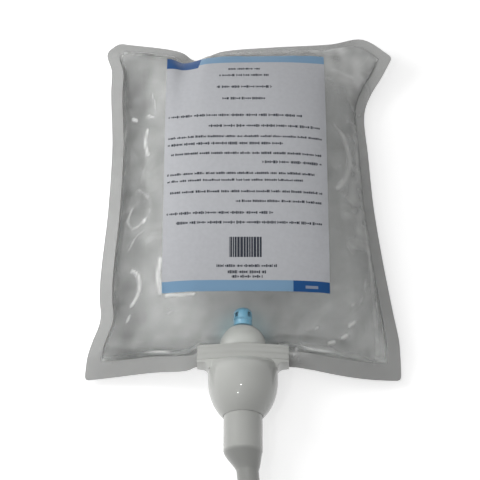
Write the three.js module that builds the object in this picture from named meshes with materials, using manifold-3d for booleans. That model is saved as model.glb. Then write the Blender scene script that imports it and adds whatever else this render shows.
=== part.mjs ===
// A one-litre refill pouch of hand rub with its push pump, lying on its back as it comes to rest.
// Millimetres, +Z up. The label faces up and the nozzle points along -Y.
// The origin is on the flat of the pouch's back, on the line of the pump's axis.
import * as THREE from 'three';
import { mergeVertices } from 'three/addons/utils/BufferGeometryUtils.js';
import Module from 'manifold-3d';

const wasm = await Module();
wasm.setup();
const { clamp, lerp, smoothstep } = THREE.MathUtils;

// Pouch: two films, welded along all four edges
const POUCH_WIDTH = 190; // over the two foot corners
const POUCH_LENGTH = 231; // from the pump's shoulder to the highest point of the top edge
const FILM = 0.2;
const SIDE_SEAL = 8;
const TOP_SEAL = 8;
const FOOT_SEAL = 10;
const FOOT_EDGE = 0.5; // the film's edge lies this far above the pump's shoulder
const FILL_HEIGHT = 44; // top of the filled pouch over the table
const SHOULDER = 3.3; // how square the filled pouch is, 2 being an ellipse
const BACK_FLAT = 1.5; // how much sooner the back film meets the table than the front one levels off
const LEFT_WAIST = 12.5; // the filled belly draws the side edges in by this much
const RIGHT_WAIST = 17;
const FOOT_CORNER_OUT = 4; // the foot corners reach past the pump's shoulder
const FOOT_CORNER_HEIGHT = 4;
const SIDE_HEIGHT = 12; // height of the side welds over the table
const TOP_HEIGHT = 16;
const TOP_SAG = 6; // the top edge's middle lies below its right bump
const LEFT_EAR_IN = 6.5; // tip of the left ear, in from the foot corner
const LEFT_EAR_DROP = 11;
const LEFT_EAR_CUT = 8; // its corner is cut off across this length
const RIGHT_EAR_OUT = 1;
const RIGHT_EAR_DROP = 14;
const RIGHT_EAR_LENGTH = 33; // the right ear starts this far below its tip
const RIGHT_EAR_HEIGHT = 20;
const DENT_X = -31; // a crease that runs down from the top edge
const DENT_HALF_WIDTH = 17;
const DENT_DEPTH = 5;
const DENT_LENGTH = 36;

// Label, stuck on the front film
const LABEL_WIDTH = 100;
const LABEL_LENGTH = 171;
const LABEL_FOOT = 38.5; // its lower edge over the pump's shoulder
const LABEL_SHIFT = 1.7; // its middle line right of the pump's axis
const LABEL_THICKNESS = 0.15;

// Spout: a bar-shaped weld base, a dome inside the pouch and a neck outside it
const BOAT_SPAN = 54.5;
const BOAT_THICKNESS = 18;
const BOAT_END = 11; // thickness of its blunt ends
const BOAT_RISE = 9;
const RIB_COUNT = 3;
const RIB_DEPTH = 0.5;
const PUCKER = 14; // the films close beyond the ends of the boat over this length
const SLOT_FADE = 45; // the belly takes over from the boat's thickness over this length
const DOME_WIDTH = 28;
const DOME_DEPTH = 17.5;
const DOME_RISE = 16.2;
const NECK_LENGTH = 14;
const NECK_WALL = 1.25;
const BEAD = 0.6; // snap bead round the neck, under the housing's top
const BEAD_WIDTH = 2;

// Pump housing: a bell under the boat, with an ear at each end
const HOUSING_RADIUS = 20.75;
const HOUSING_LENGTH = 34;
const HOUSING_STRAIGHT = 11; // its shoulder rounds in above this line and the bell below it
const WALL = 1.6;
const COLLAR = 1.5; // thickness of the ears
const EAR_FILLET = 4;

// Pump cylinder and its inlet
const CYLINDER_BORE = 11;
const CYLINDER_WALL = 1;
const CYLINDER_TOP = 15; // inner end face above the shoulder
const CYLINDER_FLANGE = 1.5;
const GASKET_THICKNESS = 1.2;
const SKIRT_RISE = 4; // the cylinder's flange grips the neck with a skirt
const SPIGOT_RADIUS = 2.8;
const SPIGOT_RISE = 4; // its end above the dome's seat
const INLET_RADIUS = 1.4;
const CAGE_RADIUS = 5.6;
const SEAT_MARGIN = 0.8; // the dome's flat top beyond the cage
const CAGE_HEIGHT = 12;
const CAGE_WALL = 2;
const CAGE_CROWN = 4; // height of its rounded top
const CAGE_WINDOWS = 4;
const WINDOW_WIDTH = 2.4;
const WINDOW_HEIGHT = 3;
const BALL_RADIUS = 2.3;

// Piston, stem and spring
const PISTON_LENGTH = 6.8;
const PISTON_GAP = 0.4;
const SEAL_GROOVE = 1.2;
const SEAL_WIDTH = 2.7;
const STEM_RADIUS = 3.2;
const STEM_BORE = 1.5; // radius
const STEM_LENGTH = 31; // below the piston
const GUIDE_SLEEVE = 6;
const GUIDE_FLANGE = 1.5;
const GUIDE_FLANGE_RADIUS = 8;
const SPRING_RADIUS = 4.2; // middle of the wire
const SPRING_WIRE = 0.5; // radius
const SPRING_TURNS = 6;

// Nozzle: a sleeve, a taper and an off-centre tip
const NOZZLE_RADIUS = 11.5;
const NOZZLE_WALL = 1.5;
const NOZZLE_TOP = 28.5; // its upper rim below the shoulder
const SLEEVE_END = 55.5; // below the shoulder
const SLEEVE_ROUND = 1.5;
const SLEEVE_FLOOR = 8; // solid end of the sleeve
const TAPER = 11;
const TIP_RADIUS = 6.5;
const TIP_LENGTH = 15;
const TIP_ASIDE = 2.6; // the tip's root is off the axis, to the right and to the back
const TIP_BACK = 2.6;
const TIP_LEAN = 0.1; // further shift for each millimetre of tip
const SOCKET_WALL = 1.9;
const SOCKET_LENGTH = 14;
const OUTLET_RADIUS = 1.5;
const INSERT_RADIUS = 3.9;
const INSERT_THICKNESS = 2.8;
const ORIFICE_RADIUS = 0.6;

// Clearances
const SEAT_GAP = 0.15; // between faces that bear on each other
const RUN_GAP = 0.25; // round what slides
const FILM_GAP = 0.45; // between a film and the rigid pieces it is welded to
const FILL_GAP = 0.6; // between the hand rub and what holds it
const LABEL_GAP = 0.25; // the label's glue line
const TABLE_GAP = 0.25; // the pump clears the table

// Fineness of the faceted surfaces
const TURN_SIDES = 24;
const BELL_SIDES = 32;
const WIRE_SIDES = 6;
const ARC_STEPS = 5;
const SIDE_CELLS = 5;
const PUCKER_CELLS = 2;
const BOAT_CELLS = 8;
const LONG_CELLS = 18;
const FILL_INSET = 0.5; // share of a cell between the welds and the hand rub
const FILL_FOOT_INSET = 0.8; // the same at the foot, where the hand rub stays off the boat

// Sizes that follow from those above
const AXIS_HEIGHT = HOUSING_RADIUS + TABLE_GAP;
const ORIGIN_UP = POUCH_LENGTH / 2; // the origin is half-way up the pouch
const BOAT_TOP = SEAT_GAP + BOAT_RISE;
const SLOT_HALF = BOAT_SPAN / 2 + PUCKER;
const DOME_SEAT_RADIUS = CAGE_RADIUS + SEAT_MARGIN;
const DOME_SEAT = BOAT_TOP + DOME_RISE * Math.sqrt(1 - (DOME_SEAT_RADIUS / (DOME_WIDTH / 2)) ** 2);
const BORE_RADIUS = CYLINDER_BORE / 2;
const CYLINDER_RADIUS = BORE_RADIUS + CYLINDER_WALL;
const NECK_BORE = CYLINDER_RADIUS + RUN_GAP;
const NECK_RADIUS = NECK_BORE + NECK_WALL;
const GASKET_TOP = -NECK_LENGTH - SEAT_GAP;
const FLANGE_TOP = GASKET_TOP - GASKET_THICKNESS - SEAT_GAP;
const FLANGE_BOTTOM = FLANGE_TOP - CYLINDER_FLANGE;
const SKIRT_BORE = NECK_RADIUS + RUN_GAP;
const FLANGE_RADIUS = SKIRT_BORE + CYLINDER_WALL;
const SLEEVE_BORE = NOZZLE_RADIUS + RUN_GAP;
const GUIDE_TOP = FLANGE_BOTTOM + GUIDE_SLEEVE;
const PISTON_BOTTOM = GUIDE_TOP + SEAT_GAP;
const PISTON_TOP = PISTON_BOTTOM + PISTON_LENGTH;
const STEM_END = PISTON_BOTTOM - STEM_LENGTH;
const TIP_ROOT = -SLEEVE_END - TAPER;
const TIP_END = TIP_ROOT - TIP_LENGTH;

// Solid modelling helpers

function solidOf(geometry) {
  const bare = geometry.index ? geometry.toNonIndexed() : geometry.clone();
  for (const name of Object.keys(bare.attributes)) {
    if (name !== 'position') bare.deleteAttribute(name);
  }
  const merged = mergeVertices(bare, 1e-4);
  return new wasm.Manifold(
    new wasm.Mesh({
      numProp: 3,
      vertProperties: merged.attributes.position.array,
      triVerts: new Uint32Array(merged.index.array),
    }),
  );
}

function geometryOf(solid) {
  const mesh = solid.getMesh();
  const geometry = new THREE.BufferGeometry();
  geometry.setAttribute('position', new THREE.BufferAttribute(new Float32Array(mesh.vertProperties), 3));
  geometry.setIndex(new THREE.BufferAttribute(new Uint32Array(mesh.triVerts), 1));
  const facets = geometry.toNonIndexed();
  facets.computeVertexNormals();
  return facets;
}

// A solid turned about the Y axis from [radius, height] points that run anticlockwise round its section
function turned(section, sides = TURN_SIDES) {
  const points = section.map(([r, y]) => new THREE.Vector2(r, y));
  const [first, last] = [points[0], points[points.length - 1]];
  if (first.x !== 0 || last.x !== 0) points.push(first.clone());
  return solidOf(new THREE.LatheGeometry(points, sides));
}

// Points on an ellipse about (0, height), from one angle to another, in radians up from the radius
function ellipse(radius, rise, height, from, to, steps = ARC_STEPS) {
  return Array.from({ length: steps + 1 }, (_, k) => {
    const t = lerp(from, to, k / steps);
    return [radius * Math.cos(t), height + rise * Math.sin(t)];
  });
}

// A solid through rings of points that all have the same count, listed from the lowest to the highest
function lofted(rings) {
  const triangles = [];
  const add = (...points) => points.forEach((p) => triangles.push(p.x, p.y, p.z));
  const count = rings[0].length;
  const middle = (ring) =>
    ring.reduce((sum, p) => sum.add(p), new THREE.Vector3()).divideScalar(count);
  for (let k = 0; k < count; k += 1) {
    const next = (k + 1) % count;
    add(middle(rings[0]), rings[0][next], rings[0][k]);
    for (let level = 0; level + 1 < rings.length; level += 1) {
      const [low, high] = [rings[level], rings[level + 1]];
      add(low[k], low[next], high[next]);
      add(low[k], high[next], high[k]);
    }
    const crown = rings[rings.length - 1];
    add(middle(crown), crown[k], crown[next]);
  }
  const geometry = new THREE.BufferGeometry();
  geometry.setAttribute('position', new THREE.Float32BufferAttribute(triangles, 3));
  return solidOf(geometry);
}

// A ring about the Y axis whose radius may change with the angle; angle 0 is +Z, and a quarter turn is +X
function ring(height, radiusAt, centre = new THREE.Vector2(), sides = TURN_SIDES) {
  return Array.from({ length: sides }, (_, k) => {
    const angle = (2 * Math.PI * k) / sides;
    const r = radiusAt(angle);
    return new THREE.Vector3(centre.x + r * Math.sin(angle), height, centre.y + r * Math.cos(angle));
  });
}

// Pouch: the shape of the weld sheet and of the filled belly

const boatHalf = (x) =>
  lerp(BOAT_END / 2, BOAT_THICKNESS / 2, Math.max(0, 1 - (x / (BOAT_SPAN / 2)) ** 2));

function footEdge(u) {
  const x = lerp(-POUCH_WIDTH / 2, POUCH_WIDTH / 2, u);
  const out = Math.max(0, (Math.abs(x) - BOAT_SPAN / 2) / (POUCH_WIDTH / 2 - BOAT_SPAN / 2));
  return new THREE.Vector3(
    x,
    lerp(FOOT_EDGE, -FOOT_CORNER_OUT, out ** 0.6),
    lerp(AXIS_HEIGHT, FOOT_CORNER_HEIGHT, out ** 0.75),
  );
}

const edge = (...points) =>
  new THREE.CatmullRomCurve3(points.map((p) => (p.isVector3 ? p : new THREE.Vector3(...p))));
const half = POUCH_WIDTH / 2;
const leftEar = new THREE.Vector3(-half + LEFT_EAR_IN, POUCH_LENGTH - LEFT_EAR_DROP, TOP_HEIGHT);
const topLeft = leftEar.clone().add(new THREE.Vector3(LEFT_EAR_CUT, LEFT_EAR_CUT, 0));
const topRight = new THREE.Vector3(
  half + RIGHT_EAR_OUT,
  POUCH_LENGTH - RIGHT_EAR_DROP,
  RIGHT_EAR_HEIGHT,
);
const leftEdge = edge(
  footEdge(0),
  [-half + 0.65 * LEFT_WAIST, 0.12 * POUCH_LENGTH, 0.75 * SIDE_HEIGHT],
  [-half + 0.8 * LEFT_WAIST, 0.3 * POUCH_LENGTH, SIDE_HEIGHT],
  [-half + LEFT_WAIST, 0.62 * POUCH_LENGTH, SIDE_HEIGHT],
  [-half + 0.9 * LEFT_WAIST, 0.86 * POUCH_LENGTH, SIDE_HEIGHT],
  leftEar,
  topLeft,
);
const rightEdge = edge(
  footEdge(1),
  [half - 0.26 * RIGHT_WAIST, 0.18 * POUCH_LENGTH, 0.85 * SIDE_HEIGHT],
  [half - 0.62 * RIGHT_WAIST, 0.43 * POUCH_LENGTH, SIDE_HEIGHT],
  [half - RIGHT_WAIST, 0.7 * POUCH_LENGTH, SIDE_HEIGHT],
  [half - RIGHT_WAIST, topRight.y - RIGHT_EAR_LENGTH, SIDE_HEIGHT],
  topRight,
);
const topLine = POUCH_LENGTH - TOP_SAG;
const topEdge = edge(
  topLeft,
  [DENT_X - DENT_HALF_WIDTH / 2, topLine - 0.8 * DENT_DEPTH, TOP_HEIGHT],
  [DENT_X, topLine - 1.4 * DENT_DEPTH, TOP_HEIGHT - DENT_DEPTH],
  [DENT_X + DENT_HALF_WIDTH, topLine - 0.7 * DENT_DEPTH, TOP_HEIGHT],
  [0.1 * POUCH_WIDTH, topLine, TOP_HEIGHT],
  [0.3 * POUCH_WIDTH, POUCH_LENGTH - 0.6 * TOP_SAG, TOP_HEIGHT],
  [0.41 * POUCH_WIDTH, POUCH_LENGTH, TOP_HEIGHT],
  topRight,
);

// The weld sheet stretched between the four edges
function weldSheet(u, v) {
  const across = footEdge(u).lerp(topEdge.getPointAt(u), v);
  const along = leftEdge.getPointAt(v).lerp(rightEdge.getPointAt(v), u);
  const foot = footEdge(0).lerp(footEdge(1), u);
  const top = topLeft.clone().lerp(topRight, u);
  const point = across.add(along).sub(foot.lerp(top, v));
  const beside = smoothstep(Math.abs(point.x), BOAT_SPAN / 2, SLOT_HALF);
  const above = smoothstep(point.y, BOAT_TOP, BOAT_TOP + SLOT_FADE);
  return point.setZ(lerp(AXIS_HEIGHT, point.z, 1 - (1 - beside) * (1 - above)));
}

const sideShare = SIDE_SEAL / POUCH_WIDTH;
const footShare = FOOT_SEAL / POUCH_LENGTH;
const topShare = TOP_SEAL / POUCH_LENGTH;
const slotShare = 0.5 - SLOT_HALF / POUCH_WIDTH;
const boatShare = 0.5 - BOAT_SPAN / 2 / POUCH_WIDTH;

// How full the belly is across and along the sheet, from 0 on the welds to 1 in the middle
function fullness(u, v) {
  const across = (2 * (u - sideShare)) / (1 - 2 * sideShare) - 1;
  const along = (2 * (v - footShare)) / (1 - footShare - topShare) - 1;
  const crown = (s) => Math.max(0, 1 - Math.abs(s) ** SHOULDER) ** 0.6;
  return [crown(across), crown(along)];
}

// Half the gap that the boat holds open between the films
function slotGap(u, point) {
  if (u <= slotShare + 1e-9 || u >= 1 - slotShare - 1e-9) return 0;
  const beyond = Math.abs(point.x) - BOAT_SPAN / 2;
  const open =
    beyond <= 0
      ? boatHalf(point.x) + FILM_GAP
      : (BOAT_END / 2 + FILM_GAP) * Math.max(0, 1 - beyond / PUCKER);
  return open * (1 - smoothstep(point.y, BOAT_TOP, BOAT_TOP + SLOT_FADE));
}

const dentAt = (point) =>
  DENT_DEPTH *
  Math.max(0, 1 - Math.abs(point.x - DENT_X) / DENT_HALF_WIDTH) *
  smoothstep(point.y, POUCH_LENGTH - TOP_SEAL - DENT_LENGTH, POUCH_LENGTH - TOP_SEAL);

// The inner faces of both films and the weld line between them, at one point of the sheet
function filmsAt(u, v) {
  const weld = weldSheet(u, v);
  const [across, along] = fullness(u, v);
  const slot = slotGap(u, weld);
  const room = weld.z - FILM;
  const spread = Math.min(1, BACK_FLAT * across) * Math.min(1, BACK_FLAT * along);
  const up = Math.hypot((FILL_HEIGHT - FILM - weld.z - dentAt(weld)) * across * along, slot);
  const down = Math.min(room, Math.hypot(room * spread, slot));
  return {
    weld,
    front: weld.clone().setZ(weld.z + up),
    back: weld.clone().setZ(weld.z - down),
  };
}

// Grid lines over the sheet, closer together towards the ends of a long span
function gridLines(spans) {
  const lines = [0];
  for (const [from, to, cells, eased] of spans) {
    for (let k = 1; k <= cells; k += 1) {
      const even = k / cells;
      const round = 0.5 - 0.5 * Math.cos(Math.PI * even);
      lines.push(lerp(from, to, lerp(even, round, eased)));
    }
  }
  return lines;
}
const columns = gridLines([
  [0, sideShare, 1, 0],
  [sideShare, slotShare, SIDE_CELLS, 0],
  [slotShare, boatShare, PUCKER_CELLS, 0],
  [boatShare, 1 - boatShare, BOAT_CELLS, 0],
  [1 - boatShare, 1 - slotShare, PUCKER_CELLS, 0],
  [1 - slotShare, 1 - sideShare, SIDE_CELLS, 0],
  [1 - sideShare, 1, 1, 0],
]);
const rows = gridLines([
  [0, footShare, 1, 0],
  [footShare, 1 - topShare, LONG_CELLS, 0.5],
  [1 - topShare, 1, 1, 0],
]);
const lastColumn = columns.length - 1;
const lastRow = rows.length - 1;
const slotColumns = [1 + SIDE_CELLS, 1 + SIDE_CELLS + 2 * PUCKER_CELLS + BOAT_CELLS];

const sheet = rows.map((v) => columns.map((u) => filmsAt(u, v)));
const grid = (side) => sheet.map((line) => line.map((node) => node[side]));
const welds = grid('weld');
const frontInner = grid('front');
const backInner = grid('back');

// A face of the grid moved out by the film's thickness
function thickened(face, outward) {
  return face.map((line, j) =>
    line.map((p, i) => {
      const du = line[Math.min(i + 1, lastColumn)].clone().sub(line[Math.max(i - 1, 0)]);
      const dv = face[Math.min(j + 1, lastRow)][i].clone().sub(face[Math.max(j - 1, 0)][i]);
      return p.clone().addScaledVector(du.cross(dv).normalize(), outward * FILM);
    }),
  );
}
const frontOuter = thickened(frontInner, 1);
const backOuter = thickened(backInner, -1);

// Each cell is split by the diagonal that points at the middle of the grid
const splitsBackwards = (i, j, wide, high) => 2 * i + 1 < wide !== 2 * j + 1 < high;

// Collects quads into one closed mesh
function quadMesh() {
  const positions = [];
  const triangle = (...points) => points.forEach((p) => positions.push(p.x, p.y, p.z));
  return {
    quad(a, b, c, d) {
      triangle(a, b, c);
      triangle(a, c, d);
    },
    cell(face, i, j, up) {
      const corners = [face[j][i], face[j][i + 1], face[j + 1][i + 1], face[j + 1][i]];
      if (splitsBackwards(i, j, face[0].length - 1, face.length - 1)) corners.push(corners.shift());
      const [a, b, c, d] = corners;
      if (up) this.quad(a, b, c, d);
      else this.quad(a, d, c, b);
    },
    solid() {
      const geometry = new THREE.BufferGeometry();
      geometry.setAttribute('position', new THREE.Float32BufferAttribute(positions, 3));
      return solidOf(geometry);
    },
  };
}

// The [column, row] pairs of each step round a grid's rim, with the foot run from right to left
function rimSteps(wide, high) {
  const steps = [];
  for (let i = 0; i < wide; i += 1) {
    steps.push([[i + 1, 0], [i, 0]]);
    steps.push([[i, high], [i + 1, high]]);
  }
  for (let j = 0; j < high; j += 1) {
    steps.push([[0, j], [0, j + 1]]);
    steps.push([[wide, j + 1], [wide, j]]);
  }
  return steps;
}

function pouchFilm() {
  const mesh = quadMesh();
  for (let j = 0; j < lastRow; j += 1) {
    for (let i = 0; i < lastColumn; i += 1) {
      mesh.cell(frontOuter, i, j, true);
      mesh.cell(backOuter, i, j, false);
      const inBelly = i > 0 && i < lastColumn - 1 && j > 0 && j < lastRow - 1;
      const inSlot = j === 0 && i >= slotColumns[0] && i < slotColumns[1];
      if (inBelly || inSlot) {
        mesh.cell(frontInner, i, j, false);
        mesh.cell(backInner, i, j, true);
      }
    }
  }
  for (const [[ai, aj], [bi, bj]] of rimSteps(lastColumn, lastRow)) {
    const open = aj === 0 && bj === 0 && bi >= slotColumns[0] && ai <= slotColumns[1];
    const upper = open ? frontInner : welds;
    const lower = open ? backInner : welds;
    mesh.quad(frontOuter[aj][ai], frontOuter[bj][bi], upper[bj][bi], upper[aj][ai]);
    mesh.quad(lower[aj][ai], lower[bj][bi], backOuter[bj][bi], backOuter[aj][ai]);
  }
  return mesh.solid();
}

// A point on the facets of a grid face, at a fractional column and row
function onFacets(face, column, row) {
  const i = Math.min(Math.floor(column), lastColumn - 1);
  const j = Math.min(Math.floor(row), lastRow - 1);
  const [s, t] = [column - i, row - j];
  const [a, b, c, d] = [face[j][i], face[j][i + 1], face[j + 1][i + 1], face[j + 1][i]];
  const from = (o, p, share, q, otherShare) =>
    o.clone().addScaledVector(p.clone().sub(o), share).addScaledVector(q.clone().sub(o), otherShare);
  if (splitsBackwards(i, j, lastColumn, lastRow)) {
    return s + t <= 1 ? from(a, b, s, d, t) : from(c, d, 1 - s, b, 1 - t);
  }
  return t <= s ? from(b, a, 1 - s, c, t) : from(d, a, 1 - t, c, s);
}

function handRub() {
  const lines = (last, first) => [
    1 + first,
    ...Array.from({ length: last - 3 }, (_, k) => k + 2),
    last - 1 - FILL_INSET,
  ];
  const [wide, high] = [lines(lastColumn, FILL_INSET), lines(lastRow, FILL_FOOT_INSET)];
  const between = (side, other) =>
    high.map((row) =>
      wide.map((column) => {
        const point = onFacets(side, column, row);
        const room = onFacets(other, column, row).z - point.z;
        return point.setZ(point.z + Math.sign(room) * Math.min(FILL_GAP, Math.abs(room) / 4));
      }),
    );
  const [front, back] = [between(frontInner, backInner), between(backInner, frontInner)];
  const mesh = quadMesh();
  for (let j = 0; j + 1 < high.length; j += 1) {
    for (let i = 0; i + 1 < wide.length; i += 1) {
      mesh.cell(front, i, j, true);
      mesh.cell(back, i, j, false);
    }
  }
  for (const [[ai, aj], [bi, bj]] of rimSteps(wide.length - 1, high.length - 1)) {
    mesh.quad(front[aj][ai], front[bj][bi], back[bj][bi], back[aj][ai]);
  }
  const inside = turned([
    [0, BOAT_TOP - BOAT_RISE],
    ...ellipse(DOME_WIDTH / 2 + FILL_GAP, DOME_RISE + FILL_GAP, BOAT_TOP, 0, 1.1),
    [CAGE_RADIUS + FILL_GAP, DOME_SEAT],
    [CAGE_RADIUS + FILL_GAP, DOME_SEAT + SEAT_GAP + CAGE_HEIGHT + FILL_GAP],
    [0, DOME_SEAT + SEAT_GAP + CAGE_HEIGHT + FILL_GAP],
  ]).translate([0, 0, AXIS_HEIGHT]);
  return mesh.solid().subtract(inside);
}

// The label is cut from a sheet that follows the front film
function label() {
  const lifted = (lift) => frontOuter.map((line) => line.map((p) => p.clone().setZ(p.z + lift)));
  const [glue, print] = [lifted(LABEL_GAP), lifted(LABEL_GAP + LABEL_THICKNESS)];
  const mesh = quadMesh();
  for (let j = 0; j < lastRow; j += 1) {
    for (let i = 0; i < lastColumn; i += 1) {
      mesh.cell(print, i, j, true);
      mesh.cell(glue, i, j, false);
    }
  }
  for (const [[ai, aj], [bi, bj]] of rimSteps(lastColumn, lastRow)) {
    mesh.quad(print[aj][ai], print[bj][bi], glue[bj][bi], glue[aj][ai]);
  }
  const outline = new THREE.BoxGeometry(LABEL_WIDTH, LABEL_LENGTH, 4 * FILL_HEIGHT);
  outline.translate(LABEL_SHIFT, LABEL_FOOT + LABEL_LENGTH / 2, 0);
  return mesh.solid().intersect(solidOf(outline));
}

// Pump pieces, about the Y axis, with the shoulder under the boat at height 0 and the pouch above it

// The boat's outline from its right end round by the back and the left end to the front
function boatRing(height, inset) {
  const steps = 2 * ARC_STEPS;
  const side = (sign) =>
    Array.from({ length: steps + 1 }, (_, k) => {
      const x = lerp(BOAT_SPAN / 2, -BOAT_SPAN / 2, k / steps);
      const shrink = 1 - inset / (BOAT_SPAN / 2);
      return new THREE.Vector3(sign * x * shrink, height, -sign * (boatHalf(x) - inset));
    });
  return [...side(1), ...side(-1)];
}

function spout() {
  const rings = [];
  const pitch = BOAT_RISE / (2 * RIB_COUNT - 1);
  for (let k = 0; k < 2 * RIB_COUNT - 1; k += 1) {
    const inset = k % 2 === 0 ? 0 : RIB_DEPTH;
    rings.push(boatRing(SEAT_GAP + k * pitch, inset), boatRing(SEAT_GAP + (k + 1) * pitch, inset));
  }
  const vaulted = (section) => turned(section).scale([1, 1, DOME_DEPTH / DOME_WIDTH]);
  const radius = DOME_WIDTH / 2;
  const dome = vaulted([
    [0, BOAT_TOP - 1],
    [radius, BOAT_TOP - 1],
    ...ellipse(radius, DOME_RISE, BOAT_TOP, 0, Math.acos(DOME_SEAT_RADIUS / radius)),
    [0, DOME_SEAT],
  ]);
  const [vault, vaultRise, ceiling] = [radius - WALL, DOME_RISE - WALL, DOME_SEAT - WALL];
  const hollow = vaulted([
    [0, BOAT_TOP],
    ...ellipse(vault, vaultRise, BOAT_TOP, 0, Math.asin((ceiling - BOAT_TOP) / vaultRise)),
    [0, ceiling],
  ]);
  const beadTop = -2 * WALL;
  const neck = turned([
    [0, -NECK_LENGTH],
    [NECK_RADIUS, -NECK_LENGTH],
    [NECK_RADIUS, beadTop - BEAD_WIDTH],
    [NECK_RADIUS + BEAD, beadTop - BEAD_WIDTH / 2],
    [NECK_RADIUS + BEAD, beadTop],
    [NECK_RADIUS, beadTop],
    [NECK_RADIUS, SEAT_GAP + 1],
    [0, SEAT_GAP + 1],
  ]);
  const bore = turned([
    [0, -NECK_LENGTH - 1],
    [NECK_BORE, -NECK_LENGTH - 1],
    [NECK_BORE, BOAT_TOP + 1],
    [SPIGOT_RADIUS + RUN_GAP, BOAT_TOP + 1],
    [SPIGOT_RADIUS + RUN_GAP, DOME_SEAT + 1],
    [0, DOME_SEAT + 1],
  ]);
  return lofted(rings).add(dome).add(neck).subtract(hollow).subtract(bore);
}

const bellRise =
  (HOUSING_LENGTH - HOUSING_STRAIGHT) / Math.sqrt(1 - (SLEEVE_BORE / HOUSING_RADIUS) ** 2);

// The bell's solid, drawn in by a wall: round below its straight line and flattened towards the boat above it
function bell(wall, foot, top) {
  const wide = HOUSING_RADIUS - wall;
  const onAxis = (height, radiusAt) => ring(height, radiusAt, new THREE.Vector2(), BELL_SIDES);
  const oval = (height, deep) =>
    onAxis(height, (angle) => 1 / Math.hypot(Math.sin(angle) / wide, Math.cos(angle) / deep));
  const steps = 2 * ARC_STEPS;
  const curve = ellipse(wide, bellRise - wall, -HOUSING_STRAIGHT, -Math.acos(foot / wide), 0, steps);
  const rings = curve.map(([radius, height]) => onAxis(height, () => radius));
  const flat = BOAT_THICKNESS / 2 - wall;
  for (let k = 1; k <= ARC_STEPS; k += 1) {
    const t = (Math.PI / 2) * (k / ARC_STEPS);
    const height = lerp(-HOUSING_STRAIGHT, top, Math.sin(t));
    rings.push(oval(height, lerp(flat, wide, Math.cos(t))));
  }
  return lofted(rings);
}

function pumpHousing() {
  const ears = new THREE.Shape();
  const [end, root] = [BOAT_SPAN / 2, HOUSING_RADIUS];
  ears.moveTo(-end, 0);
  ears.lineTo(-end, -COLLAR);
  ears.lineTo(-root - EAR_FILLET, -COLLAR);
  ears.absarc(-root - EAR_FILLET, -COLLAR - EAR_FILLET, EAR_FILLET, Math.PI / 2, 0, true);
  ears.lineTo(root, -COLLAR - EAR_FILLET);
  ears.absarc(root + EAR_FILLET, -COLLAR - EAR_FILLET, EAR_FILLET, Math.PI, Math.PI / 2, true);
  ears.lineTo(end, -COLLAR);
  ears.lineTo(end, 0);
  const bar = new THREE.ExtrudeGeometry(ears, {
    depth: BOAT_END,
    bevelEnabled: false,
    curveSegments: ARC_STEPS,
  });
  bar.translate(0, 0, -BOAT_END / 2);
  const way = turned(
    [
      [0, -HOUSING_LENGTH - 1],
      [SLEEVE_BORE, -HOUSING_LENGTH - 1],
      [SLEEVE_BORE, -HOUSING_STRAIGHT],
      [NECK_RADIUS + RUN_GAP, -HOUSING_STRAIGHT],
      [NECK_RADIUS + RUN_GAP, 1],
      [0, 1],
    ],
    BELL_SIDES,
  );
  const hollow = bell(WALL, SLEEVE_BORE, -WALL);
  return bell(0, SLEEVE_BORE, 0).add(solidOf(bar)).subtract(hollow).subtract(way);
}

const neckGasket = () =>
  turned([
    [NECK_BORE, GASKET_TOP - GASKET_THICKNESS],
    [NECK_RADIUS, GASKET_TOP - GASKET_THICKNESS],
    [NECK_RADIUS, GASKET_TOP],
    [NECK_BORE, GASKET_TOP],
  ]);

const spigotTop = DOME_SEAT + SPIGOT_RISE;
const cylinderEnd = CYLINDER_TOP + CYLINDER_WALL;

const pumpCylinder = () =>
  turned([
    [BORE_RADIUS, FLANGE_BOTTOM],
    [FLANGE_RADIUS, FLANGE_BOTTOM],
    [FLANGE_RADIUS, -NECK_LENGTH + SKIRT_RISE],
    [SKIRT_BORE, -NECK_LENGTH + SKIRT_RISE],
    [SKIRT_BORE, FLANGE_TOP],
    [CYLINDER_RADIUS, FLANGE_TOP],
    [CYLINDER_RADIUS, cylinderEnd],
    [SPIGOT_RADIUS, cylinderEnd],
    [SPIGOT_RADIUS, spigotTop],
    [INLET_RADIUS, spigotTop],
    [INLET_RADIUS, CYLINDER_TOP],
    [BORE_RADIUS, CYLINDER_TOP],
  ]);

// A cone-shaped grommet that seals the spigot under the dome
function inletSeal() {
  const [foot, top] = [cylinderEnd + SEAT_GAP, DOME_SEAT - WALL - SEAT_GAP];
  const vaultDepth = (height) => {
    const share = (height - BOAT_TOP) / (DOME_RISE - WALL);
    return (DOME_WIDTH / 2 - WALL) * (DOME_DEPTH / DOME_WIDTH) * Math.sqrt(1 - share ** 2);
  };
  return turned([
    [SPIGOT_RADIUS + SEAT_GAP, foot],
    [vaultDepth(lerp(foot, top, 0.4)) - 2 * RUN_GAP, foot],
    [vaultDepth(lerp(foot, top, 0.4)) - 2 * RUN_GAP, lerp(foot, top, 0.3)],
    [vaultDepth(top) - RUN_GAP, top],
    [SPIGOT_RADIUS + SEAT_GAP, top],
  ]);
}

const cageFoot = DOME_SEAT + SEAT_GAP;

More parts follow.
